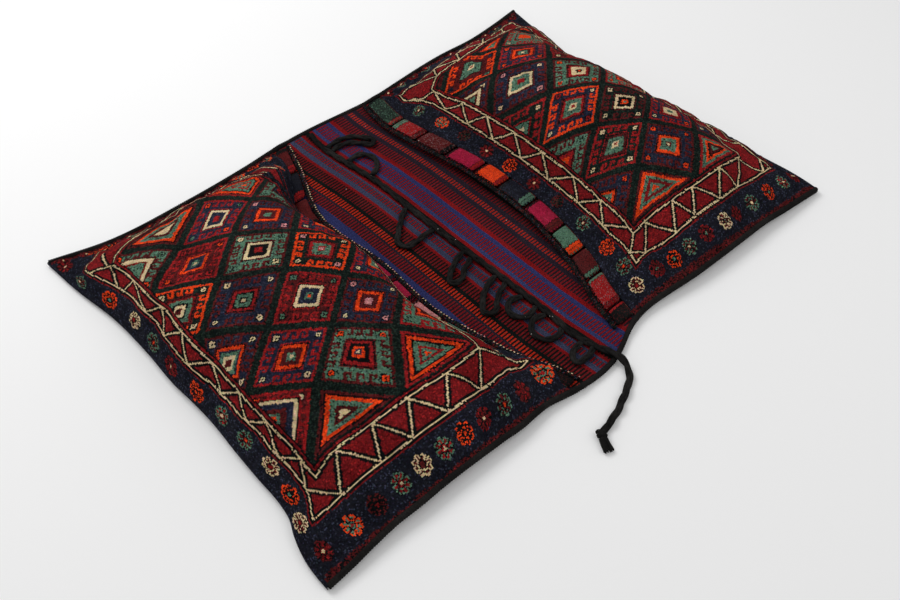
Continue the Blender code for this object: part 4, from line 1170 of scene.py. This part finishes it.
# %% Pile faces
PILE_THICK = 0.0075
# Near both corners the left mouth's edge laps over its own tabs: (share t, how far)
LEFT_LAP = [(0, 0), (0.03, 0.004), (0.06, 0.022), (0.12, 0.022), (0.17, 0.012), (0.22, 0), (0.79, 0),
            (0.85, 0.010), (0.94, 0.012), (0.985, 0), (1, 0)]
# The right crown is hollow toward its end: middle x and y, reach along x and y, depth
HOLLOW = (0.585, -0.030, 0.055, 0.120, 0.016)
LAP_FROM, LAP_LIFT, CLOTH_SEED = 0.91, 0.0095, 5
FOLD_ROWS, FOLD_STEP, FOLD_RADIUS, FOLD_FLOOR = 4, 0.003, 0.0042, 0.0012
# Rows of the turned-in mouth edge: share of the drop, and how far inside the edge each is taken
LIP, LIP_STEP = ((0.35, 0.0004), (0.8, 0.0012), (1.0, 0.004), (1.0, 0.018), (1.0, 0.040)), 0.002


def pile_face(name, end, mouth, section, span, side, long, node):
    """One pocket's face, with its knots painted in."""
    forward = 1 if side == "left" else -1
    count_s, count_t = int(long / KNOT), int(1.0 / KNOT)
    s, t = np.linspace(0, 1, count_s + 1), np.linspace(0, 1, count_t + 1)
    surface = pocket_points(end, mouth, section, span, s, t)
    coarse_s, coarse_t = np.linspace(0, 1, CLOTH_ROWS), np.linspace(0, 1, CLOTH_COLUMNS)
    moved = relaxed(pocket_points(end, mouth, section, span, coarse_s, coarse_t), CLOTH_SEED)
    weights_s, weights_t = spread_weights(CLOTH_ROWS, s), spread_weights(CLOTH_COLUMNS, t)
    surface = surface + np.einsum("ij,jkc,lk->ilc", weights_s, moved, weights_t)
    if side == "left":
        lap = curve(LEFT_LAP)(t)[None, :]
        weight = np.clip((s - LAP_FROM) / 0.09, 0, 1)[:, None]**1.5
        surface[..., 0] += weight * lap
        surface[..., 2] += np.clip(weight * 1.5, 0, 1) * np.clip(lap / 0.008, 0, 1) * LAP_LIFT
    else:
        middle_x, middle_y, reach_x, reach_y, depth = HOLLOW
        x, y = surface[..., 0] - middle_x, surface[..., 1] - middle_y
        surface[..., 2] -= depth * np.exp(-(x / reach_x)**2 - (y / reach_y)**2)
    fold = []
    for k in range(FOLD_ROWS, 0, -1):
        angle = np.pi * k / 4.6
        ring = surface[0].copy()
        ring[:, 0] -= forward * FOLD_RADIUS * np.sin(angle)
        ring[:, 2] -= (ring[:, 2] - FOLD_FLOOR) * (1 - np.cos(angle)) / 2
        fold.append(ring)
    lip = []
    for turned, inside in LIP:
        row = surface[max(count_s - int(inside / KNOT), 0)].copy()
        row[:, 2] -= PILE_THICK * 0.55 * turned
        if inside < 0.003:
            row[:, 0] += forward * 0.0006
        lip.append(row)
    points = np.concatenate([np.stack(fold), surface, np.stack(lip)])
    rows, columns = points.shape[:2]
    faces = grid_faces(rows, columns)
    if side == "right":
        faces = faces[:, ::-1]
    made = mesh_piece(name, points.reshape(-1, 3), faces, pile_wool)
    places = np.concatenate([-FOLD_STEP * np.arange(FOLD_ROWS, 0, -1), s * long,
                             long + LIP_STEP * np.arange(1, len(LIP) + 1)])
    u = (places[:-1] + places[1:]) / 2
    v = (t[:-1] + t[1:]) / 2
    u, v = np.meshgrid(u, v, indexing="ij")
    rolled_under = (left_tuck if side == "left" else right_tuck)(v) * long / np.abs(mouth(v) - end(v))
    u = u + rolled_under * (1 - np.clip(u / long, 0, 1))
    x = end(v) + (mouth(v) - end(v)) * np.clip(u / long, 0, 1)
    v = v + near_tuck(x) * (1 - v) / CLOTH_WIDTH
    which = knot_pattern(u.ravel(), v.ravel(), long, side)
    batch = 1 + 0.07 * np.sin(u.ravel() * 61 + 3) + 0.05 * np.sin(u.ravel() * 23)
    paint(made, spun(which) * batch[:, None])
    dress(made, [node])
    print(name, "knots", len(faces))
    return made


# The last number is the length of the pattern from the end fold to the mouth
left_face = pile_face("left_pocket_pile", left_end, left_mouth, LEFT_SECTION, LEFT_SPAN, "left", 0.600,
                      "left_pile_face")
right_face = pile_face("right_pocket_pile", right_end, right_mouth, RIGHT_SECTION, RIGHT_SPAN, "right",
                       0.575, "right_pile_face")

# %% [markdown]
# The flatweave. Its stripes run across the bag and bow a little, so a map from the mesh carries
# them: its first number is the place across the stripes and its second the place along them. Each
# stripe has a ground and, over most of them, short weft bars every eight millimetres.

# %% Striped flatweave material
BOW = [(-0.50, 0.013), (-0.438, 0.010), (-0.363, 0.004), (-0.163, 0.001), (0.037, 0.0), (0.137, -0.001),
       (0.237, -0.006), (0.337, -0.016), (0.412, -0.022), (0.50, -0.025)]
# (left edge of the stripe, its ground, its bars)
STRIPES = [(-0.2300, "plum", "plum_red"), (-0.1850, "deep_blue", "deep_blue"), (-0.1606, "plum", "plum_red"),
           (-0.1346, "dark_plum", "dark_plum"), (-0.1296, "black", "orange"), (-0.1115, "green", "green"),
           (-0.1025, "black", "dull_red"), (-0.0745, "red", "red"), (-0.0672, "grey_blue", "grey_blue"),
           (-0.0550, "slate", "red"), (-0.0385, "grey_blue", "grey_blue"), (-0.0330, "red", "red"),
           (-0.0255, "green", "dull_red"), (-0.0215, "green", "green"), (-0.0080, "red", "red"),
           (0.0015, "blue", "blue"), (0.0105, "night_blue", "red"), (0.0405, "deep_blue", "deep_blue"),
           (0.0530, "red", "red"), (0.0640, "plum", "plum_red"), (0.0905, "dark_plum", "dark_plum"),
           (0.1030, "dark_plum", "dull_orange"), (0.1185, "dark_plum", "dark_plum"),
           (0.1305, "plum", "dull_red"), (0.1520, "green", "green"), (0.1600, "plum", "plum_red"),
           (0.2300, "plum", "plum_red")]
STRIPE_WOOL = {
    "plum": (0.013, 0.0080, 0.012), "plum_red": (0.150, 0.0075, 0.0105), "blue": (0.028, 0.036, 0.108),
    "deep_blue": (0.023, 0.027, 0.094), "dark_plum": (0.018, 0.012, 0.019), "black": (0.005, 0.0055, 0.0055),
    "orange": (0.380, 0.020, 0.008), "green": (0.0045, 0.0065, 0.006), "dull_red": (0.122, 0.0070, 0.0085),
    "red": (0.165, 0.0060, 0.0075), "grey_blue": (0.036, 0.041, 0.078), "slate": (0.020, 0.026, 0.046),
    "night_blue": (0.019, 0.023, 0.070), "dull_orange": (0.285, 0.016, 0.009),
}
STRIPE_LOW, STRIPE_HIGH, BAR_STEP = -0.235, 0.235, 0.00828
RIB_STEP, PICK_STEP = 0.0024, 0.0040             # of the weave across and along the stripes
STRIPE_WANDER, BAR_LEAN = 0.0030, 0.006


def stripe_ramp(tree, value, column):
    """The stripes as stepped colour ramps. A ramp holds 32 stops, which is enough for all of them."""
    ramp = add(tree, "ValToRGB")
    ramp.color_ramp.interpolation = "CONSTANT"
    stops = ramp.color_ramp.elements
    stops[0].position, stops[0].color = 0.0, (*STRIPE_WOOL[STRIPES[0][column]], 1)
    stops[1].position = 0.999
    stops[1].color = (*STRIPE_WOOL[STRIPES[-1][column]], 1)
    for stripe in STRIPES[1:]:
        stop = stops.new((stripe[0] - STRIPE_LOW) / (STRIPE_HIGH - STRIPE_LOW))
        stop.color = (*STRIPE_WOOL[stripe[column]], 1)
    tree.links.new(value, ramp.inputs[0])
    return ramp.outputs[0]


def flatweave_base(tree):
    """Stripes, their bars and the ribs of the weave, from the mesh's map."""
    weave = add(tree, "UVMap", uv_map="weave").outputs[0]
    split = add(tree, "SeparateXYZ")
    tree.links.new(weave, split.inputs[0])
    across, along = split.outputs[0], split.outputs[1]
    wander = math(tree, "MULTIPLY", math(tree, "SUBTRACT", noise(tree, weave, 42, 3.0), 0.5),
                  STRIPE_WANDER)
    value = ranged(tree, math(tree, "ADD", across, wander), STRIPE_LOW, STRIPE_HIGH)
    lean = math(tree, "MULTIPLY", math(tree, "SUBTRACT", noise(tree, weave, 9, 1.0), 0.5), BAR_LEAN)
    beat = math(tree, "DIVIDE", math(tree, "ADD", along, lean), BAR_STEP)
    bar = math(tree, "GREATER_THAN", math(tree, "SINE", math(tree, "MULTIPLY", beat, 2 * np.pi)), 0.05)
    ground, bars = stripe_ramp(tree, value, 1), stripe_ramp(tree, value, 2)
    # The yarn is of two twisted tones, so it glints from loop to loop
    heather = ranged(tree, noise(tree, weave, 400, 2.0, 0.7), 0.36, 0.66, 0.50, 1.70)
    toned = add(tree, "VectorMath", operation="SCALE")
    tree.links.new(mixed(tree, bar, ground, bars), toned.inputs[0])
    tree.links.new(heather, toned.inputs["Scale"])
    colour = toned.outputs[0]
    rib = math(tree, "SINE", math(tree, "MULTIPLY", across, 2 * np.pi / RIB_STEP))
    pick = math(tree, "SINE", math(tree, "MULTIPLY", along, 2 * np.pi / PICK_STEP))
    ribs = math(tree, "ADD", math(tree, "MULTIPLY", rib, 0.30), math(tree, "MULTIPLY", pick, 0.16))
    return colour, ribs


flatweave = wool_material("striped_flatweave_wool", tuft=1.6, drift=0.35, dust=0.03, lint=0.7, bump=0.7,
                          depth=0.0011, base=flatweave_base)
print("stripes", len(STRIPES))

# %% [markdown]
# The back and the bridge are one thin cloth. It lies flat and lifts to the seams at its sides and
# ends, and a faint ripple runs over the bridge. Two grids give its upper and under side, and a wall
# of faces closes its edge.

# %% Flatweave back and bridge
BACK_ROWS, BACK_COLUMNS, RIPPLE, RIPPLE_REACH = 260, 170, 0.0007, 0.16


def back_grid(rows, columns):
    """Under and upper side of the flatweave as grids over its length and width."""
    t = np.linspace(0, 1, columns)
    k = np.linspace(0, 1, rows)[:, None]
    start, stop = left_end(t)[None, :], right_end(t)[None, :]
    x = start + (stop - start) * k
    y = near(x) + (far(x) - near(x)) * t
    pocket_left = np.clip((x - start) / (left_mouth(t)[None, :] - start), 0, 1)
    pocket_right = np.clip((stop - x) / (stop - right_mouth(t)[None, :]), 0, 1)
    side_arch = np.where(pocket_left < 1, arch(pocket_left),
                         np.where(pocket_right < 1, arch(pocket_right), 0))
    from_side = np.minimum(t, 1 - t) * CLOTH_WIDTH - RIM_WIDTH
    side = np.clip(1 - np.maximum(from_side, 0) / LIFT_RUN, 0, 1)**2
    end = np.clip(1 - np.minimum(x - start, stop - x) / LIFT_RUN, 0, 1)**2
    rest = SEAM_REST - GAP / 2 - BACK_THICK
    lift = (side * (rest + SEAM_RISE * side_arch) + end * (rest + SEAM_RISE * arch(past_rim(t)))
            - side * end * rest)
    ripple = RIPPLE * np.sin(y * 55 + 3 * np.sin(x * 9)) * np.clip(1 - np.abs(x) / RIPPLE_REACH, 0, 1)
    under = np.stack([x, y, lift], -1)
    return under, under + [0, 0, BACK_THICK] + np.stack([0 * ripple, 0 * ripple, ripple - 0.0003], -1)


under, upper = back_grid(BACK_ROWS, BACK_COLUMNS)
points, faces, _ = closed_sides(upper, under)
back = mesh_piece("flatweave_cloth", points, faces, flatweave)
places = np.empty(len(back.data.vertices) * 3, np.float32)
back.data.vertices.foreach_get("co", places)
places = places.reshape(-1, 3)
weave = np.stack([places[:, 0] - curve(BOW)(places[:, 1]), places[:, 1]], 1)
corners = np.empty(len(back.data.loops), np.int32)
back.data.loops.foreach_get("vertex_index", corners)
back.data.uv_layers.new(name="weave").data.foreach_set("uv", weave[corners].astype(np.float32).ravel())
print("flatweave faces", len(faces))
dress(back, ["flatwoven_back"])

# %% [markdown]
# Black goat hair is wrapped over both long edges. The wrap is one ridged roll: a rounded section
# swept along the edge, whose radius swells and dips with each slanting turn of the thread.

# %% Side bindings
WRAP_STEP, BINDING_SIDES, BINDING_STATION = 0.0050, 16, 0.0012
# The wrap is slimmer than its CAD strip: half the difference, and how much less it reaches inward
BINDING_NARROWED, GRIP_NARROWED = 0.0012, 0.0024
STEP_START, STEP_END = 0.020, 0.050          # past a mouth's corner, where the wrap grows thinner


def binding(name, t, node):
    """The overcast edge at the share t, 0 near or 1 far."""
    inward = 1 if t == 0 else -1
    start, stop = left_end(t), right_end(t)
    x = np.linspace(start + 0.0004, stop - 0.0004, int((stop - start) / BINDING_STATION))
    edge = near(x) if t == 0 else far(x)
    left, right = left_mouth(t), right_mouth(t)
    seam_share = np.where(x < left, arch((x - start) / (left - start)),
                          np.where(x > right, arch((stop - x) / (stop - right)), 0))
    seam = SEAM_REST + SEAM_RISE * seam_share
    thick = np.interp(x, [left + STEP_START, left + STEP_END, right - STEP_END, right - STEP_START],
                      [GAP + RIM_THICK, 0, 0, GAP + RIM_THICK])
    top = seam - GAP / 2 + thick + BINDING_CLEARANCE + BINDING_WALL
    bottom = seam - GAP / 2 - BACK_THICK - BINDING_CLEARANCE - BINDING_WALL
    middle, half_high = (top + bottom) / 2, (top - bottom) / 2
    half_wide = (GRIP + BINDING_CLEARANCE + BINDING_WALL) / 2 - BINDING_NARROWED
    centre_y = edge + inward * (GRIP - GRIP_NARROWED - half_wide)
    turn = 2 * np.pi * np.arange(BINDING_SIDES) / BINDING_SIDES
    square = 1 / (np.abs(np.cos(turn))**3 + np.abs(np.sin(turn))**3)**(1 / 3)
    uneven = 0.35 * np.sin(x * 211) + 0.25 * np.sin(x * 97 + 1)
    phase = 2 * np.pi * x[:, None] / WRAP_STEP + 0.9 * np.cos(turn)[None, :] * inward + uneven[:, None]
    swell = 0.965 + 0.075 * np.sign(np.sin(phase)) * np.abs(np.sin(phase))**0.7
    y = centre_y[:, None] + half_wide * np.cos(turn) * square * swell
    z = np.maximum(middle[:, None] + half_high[:, None] * np.sin(turn) * square * swell, 0.0002)
    rings = np.stack([np.broadcast_to(x[:, None], y.shape), y, z], -1)
    made = mesh_piece(name, *capped(rings), black_wool)
    print(name, "turns of thread", int((stop - start) / WRAP_STEP))
    return dress(made, [node])


binding("near_edge_overcasting", 0, "near_side_binding")
binding("far_edge_overcasting", 1, "far_side_binding")

# %% [markdown]
# Closure tabs are small padded squares of pile, each in its own wool, with bound ends in another
# colour and a slit to either side for the loops. Each is a pillow: a grid for the top with a
# rounded edge, and a flat underside.

# %% Closure tabs
TAB_THICK, TAB_CROWN, SLIT, CORD_HALF_WIDE, CORD_HALF_HIGH = 0.006, 0.004, 0.008, 0.006, 0.003
LEFT_TAB_LENGTHS = [(0, 0.030), (0.1, 0.020), (0.16, 0.019), (0.2, 0.024), (0.3, 0.034), (0.4, 0.036),
                    (1, 0.036)]
RIGHT_TAB_LENGTHS = [(0, 0.050), (1, 0.050)]
LEFT_SLIT_SHARES = [0.1071, 0.2024, 0.2956, 0.3750, 0.4444, 0.5159, 0.5992, 0.6885, 0.7778, 0.8671]
RIGHT_SLIT_SHARES = [0.0933, 0.1746, 0.2421, 0.3175, 0.4147, 0.5030, 0.5784, 0.6687, 0.7599, 0.8413]
# (main wool, near end, rows of stitches there, far end, rows there, flecks)
LEFT_TABS = [("goat", "maroon", 0, "maroon", 0, "maroon"), ("maroon", "goat", 1, "maroon", 0, "ink"),
             ("green", "ink", 1, "orange", 1, "dark_green"), ("pink", "cream", 1, "ink", 1, "crimson"),
             ("magenta", "ink", 1, "magenta", 0, "maroon"), ("magenta", "navy", 1, "ink", 1, "maroon"),
             ("navy", "green", 1, "ink", 1, "slate"), ("orange", "ink", 1, "orange", 0, "red"),
             ("maroon", "ink", 1, "maroon", 0, "crimson"), ("navy_ground", "red", 2, "ink", 1, "ink"),
             ("maroon", "red", 2, "goat", 2, "goat")]
RIGHT_TABS = [("goat", "goat", 0, "red", 1, "maroon"), ("red", "crimson", 1, "green", 1, "dusty"),
              ("maroon", "green", 1, "maroon", 0, "ink"), ("green", "orange", 2, "green", 0, "dark_green"),
              ("magenta", "maroon", 2, "ink", 1, "crimson"), ("navy_ground", "green", 2, "ink", 1, "slate"),
              ("orange", "red", 1, "ink", 1, "red"), ("magenta", "red", 1, "ink", 1, "crimson"),
              ("maroon", "ink", 1, "maroon", 0, "dusty"), ("red", "maroon", 1, "green", 2, "dusty"),
              ("dark_green", "red", 1, "ink", 1, "green")]
TAB_FLECKS, STITCH_ROW, STITCH_GAP, STITCH_START = 0.10, 0.0075, 0.0018, 0.0008
TAB_ROUND, ROOT_ROUND, TAB_SPREAD, TAB_ROWS, TAB_STEP = 0.0060, 0.0030, 0.0013, 58, 0.0020
TAB_MARGIN, TAB_EDGE_THICK, TAB_EDGE_RISE = 0.0006, 0.0022, 0.0014
RIDGE_STEP, RIDGE_HIGH, TAB_COLOUR_SPREAD = 0.0042, 0.00055, 0.22


def mouth_line(mouth):
    """A mouth's edge at its CAD stations: x, y and seam height."""
    t = np.concatenate([[0], np.linspace(RIM, 1 - RIM, 22), [1]])
    x = mouth(t)
    return np.stack([x, near(x) + (far(x) - near(x)) * t, SEAM_REST + SEAM_RISE * arch(past_rim(t))], -1)


def tab(name, edge, low, high, toward, lengths, wools, node):
    """One padded tab between two slits."""
    rows, columns = TAB_ROWS, max(int((high - low) / TAB_STEP), 12)
    k, m = np.linspace(0, 1, rows), np.linspace(0, 1, columns)
    y = low + (high - low) * m
    root, z0 = np.interp(y, edge[:, 1], edge[:, 0]), np.interp(y, edge[:, 1], edge[:, 2]) + GAP / 2
    round_k = (1 - np.abs(2 * k - 1)**3.2)**0.55
    round_m = (1 - np.abs(2 * m - 1)**4)**0.5
    length = np.interp(y, edge[:, 1], curve(lengths)(edge[:, 1] / CLOTH_WIDTH + 0.5))
    from_end = (high - low) * np.minimum(m, 1 - m)

    def corner(radius):
        """How far a rounded corner draws the outline in at each column."""
        share = np.clip(1 - from_end / radius, 0, 1)
        return radius * (1 - np.sqrt(1 - share**2)) * 0.9
    root_in, tip_in = TAB_MARGIN + corner(ROOT_ROUND), TAB_MARGIN + corner(TAB_ROUND)
    x = root[None, :] + toward * (GAP * 1.2 + root_in[None, :]
                                  + (length - GAP * 1.4 - root_in - tip_in)[None, :] * k[:, None])
    drawn = 0.0012 * ((1 - round_k)[:, None] * np.sign(0.5 - m)[None, :])
    ys = np.broadcast_to(y[None, :] + drawn, x.shape)
    fill = round_k[:, None] * round_m[None, :]
    lump = 0.0006 * np.sin(k[:, None] * 9 + 5 * low * 40) * np.sin(m[None, :] * 7 + 3)
    across = k[:, None] * length[None, :] + 0.0006 * np.sin(y * 190)[None, :]
    lump = lump + RIDGE_HIGH * np.abs(np.sin(np.pi * across / RIDGE_STEP)) - 0.0002
    top = (z0[None, :] + TAB_EDGE_THICK + (TAB_THICK - TAB_EDGE_THICK + TAB_CROWN * 1.1) * fill
           + lump * fill)
    bottom = z0[None, :] + TAB_EDGE_RISE * (1 - fill)
    points, every, edge_faces = closed_sides(np.stack([x, ys, top], -1), np.stack([x, ys, bottom], -1))
    if toward < 0:
        every = every[:, ::-1]
    made = mesh_piece(name, points, every, tab_wool)
    main, near_end, near_rows, far_end, far_rows, fleck = wools
    middle_k, middle_m = np.meshgrid((k[:-1] + k[1:]) / 2, (y[:-1] + y[1:]) / 2, indexing="ij")
    which = np.full(middle_k.shape, wool(main))
    chance = draw.random(middle_k.shape)
    which[chance > 1 - TAB_FLECKS] = wool(fleck)
    for end, from_here, stitches in ((near_end, middle_m - low, near_rows),
                                     (far_end, high - middle_m, far_rows)):
        ragged = from_here + 0.0012 * np.sin(middle_k * 31 + low * 90)
        for row in range(stitches):
            start = STITCH_START + row * (STITCH_ROW + STITCH_GAP)
            stop = start + STITCH_ROW
            which[(ragged > start) & (ragged < stop) & (chance < 0.88)] = wool(end)
            which[(ragged > stop) & (ragged < stop + STITCH_GAP)] = wool("ink")
    root_edge = middle_k < 0.08
    which[root_edge] = np.where(chance[root_edge] < 0.55, wool("crimson"), wool("ink"))
    which[root_edge & (chance > 0.90)] = wool("green")
    tip = middle_k > 0.94
    which[tip] = np.where(chance[tip] < 0.72, wool("ink"), np.where(chance[tip] < 0.86, wool("maroon"),
                                                                      wool(main)))
    which = which.ravel()
    which = np.concatenate([which, which, np.full(edge_faces, wool("ink"))])
    paint(made, spun(which, TAB_COLOUR_SPREAD))
    dress(made, [node])
    return made


CORD_STATIONS, CORD_SIDES, CORD_STITCH, CORD_SWELL = 640, 10, 0.0055, 0.16
CORD_COLOUR_SPREAD, BEAD_EVERY, BEAD_LONG = 0.2, 5, 2          # beads counted in rings of the cord


def tab_row(side, mouth, toward, shares, lengths, tabs):
    """The tabs of one mouth and the stitched cord along their tips."""
    edge = mouth_line(mouth)
    slits = [CLOTH_WIDTH * (share - 0.5) for share in shares]
    lows = [edge[1, 1]] + [slit + SLIT / 2 for slit in slits]
    highs = [slit - SLIT / 2 for slit in slits] + [edge[-2, 1]]
    for number, (low, high, wools) in enumerate(zip(lows, highs, tabs), 1):
        node = f"{side}_closure_tab_{number:02d}"
        spread_low = -GAP if number == 1 else TAB_SPREAD
        spread_high = -GAP if number == len(tabs) else TAB_SPREAD
        tab(f"{side}_mouth_tab_{number:02d}", edge, low - spread_low, high + spread_high, toward,
            lengths, wools, node)
    slope = np.abs(np.diff(edge[:, 0]) / np.diff(edge[:, 1]))
    worst = np.maximum(np.concatenate([slope[:1], slope]), np.concatenate([slope, slope[-1:]]))
    stretch = np.sqrt(1 + worst**2)
    y = np.linspace(edge[1, 1], edge[-2, 1], CORD_STATIONS)
    grow = np.interp(y, edge[:, 1], stretch)
    length = np.interp(y, edge[:, 1], curve(lengths)(edge[:, 1] / CLOTH_WIDTH + 0.5))
    x = np.interp(y, edge[:, 1], edge[:, 0]) + toward * (length + grow * (CORD_HALF_WIDE + GAP))
    z = np.interp(y, edge[:, 1], edge[:, 2]) + GAP / 2 + TAB_THICK / 2
    turn = 2 * np.pi * np.arange(CORD_SIDES) / CORD_SIDES
    phase = 2 * np.pi * y[:, None] / CORD_STITCH + turn[None, :]
    swell = 0.98 + CORD_SWELL * np.sin(phase)
    rings = np.stack([x[:, None] + CORD_HALF_WIDE * grow[:, None] * swell * np.cos(turn),
                      np.broadcast_to(y[:, None], swell.shape),
                      z[:, None] + CORD_HALF_HIGH * swell * np.sin(turn)], -1)
    points, faces = capped(rings)
    made = mesh_piece(f"{side}_mouth_edge_cord", points, faces, tab_wool)
    chance = draw.random(len(faces))
    rare = np.where(chance < 0.95, wool("maroon"), wool("slate"))
    which = np.where(chance < 0.74, wool("ink"), np.where(chance < 0.84, wool("dark_green"), rare))
    if side == "left":
        place = np.arange(len(faces))
        on_top = (place < (CORD_STATIONS - 1) * CORD_SIDES) & (place % CORD_SIDES == 1)
        ring = place // CORD_SIDES
        bead = on_top & (ring % BEAD_EVERY < BEAD_LONG)
        worn_off = np.sin(ring * 0.37) + np.sin(ring * 0.117) > 0.9
        which = np.where(bead & ~worn_off, np.where(chance < 0.6, wool("cream"), wool("pink")), which)
    paint(made, spun(which, CORD_COLOUR_SPREAD))
    dress(made, [f"{side}_band_edge_cord"])
    print(side, "tabs", len(tabs), "cord faces", len(faces))


tab_row("left", left_mouth, 1, LEFT_SLIT_SHARES, LEFT_TAB_LENGTHS, LEFT_TABS)
tab_row("right", right_mouth, -1, RIGHT_SLIT_SHARES, RIGHT_TAB_LENGTHS, RIGHT_TABS)

# %% [markdown]
# A plain pale floor, a soft sky and two large lamps. The lamps are set so that a colour renders
# about as it is written.

# %% Floor and light
FLOOR_HALF, FLOOR_DEPTH, FLOOR_TONE, SKY_STRENGTH = 9, 0.0005, 0.96, 0.55
floor_mesh = bpy.data.meshes.new("floor")
floor_mesh.from_pydata([(FLOOR_HALF * x, FLOOR_HALF * y, 0) for x, y in ((-1, -1), (1, -1), (1, 1), (-1, 1))],
                       [], [(0, 1, 2, 3)])
floor = bpy.data.objects.new("floor", floor_mesh)
collection.objects.link(floor)
floor.location.z = -FLOOR_DEPTH
pale = bpy.data.materials.new("pale_floor")
pale.use_nodes = True
shader = pale.node_tree.nodes["Principled BSDF"]
shader.inputs["Base Color"].default_value = (FLOOR_TONE, FLOOR_TONE, FLOOR_TONE, 1)
shader.inputs["Roughness"].default_value = 0.9
shader.inputs["Specular IOR Level"].default_value = 0.1
floor_mesh.materials.append(pale)
floor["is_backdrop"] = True

world = bpy.data.worlds.new("soft_room")
bpy.context.scene.world = world
world.use_nodes = True
sky = world.node_tree.nodes["Background"]
sky.inputs["Color"].default_value = (1, 1, 1, 1)
sky.inputs["Strength"].default_value = SKY_STRENGTH


def lamp(name, place, size, power):
    """A square lamp that looks at the bag."""
    data = bpy.data.lights.new(name, "AREA")
    data.size, data.energy = size, power
    made = bpy.data.objects.new(name, data)
    collection.objects.link(made)
    made.location = place
    made.rotation_euler = Vector(-np.array(place)).to_track_quat("-Z", "Y").to_euler()


lamp("key_lamp", (-0.4, 2.6, 3.0), 2.0, 70)
lamp("fill_lamp", (1.2, -2.4, 2.6), 2.4, 12)
bpy.context.scene.view_settings.view_transform = "Standard"

# %% [markdown]
# Last, the box round the visual pieces is printed.

# %% Sizes and the end
low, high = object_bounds()
print("visual box", [round(v, 4) for v in (*low, *high)])
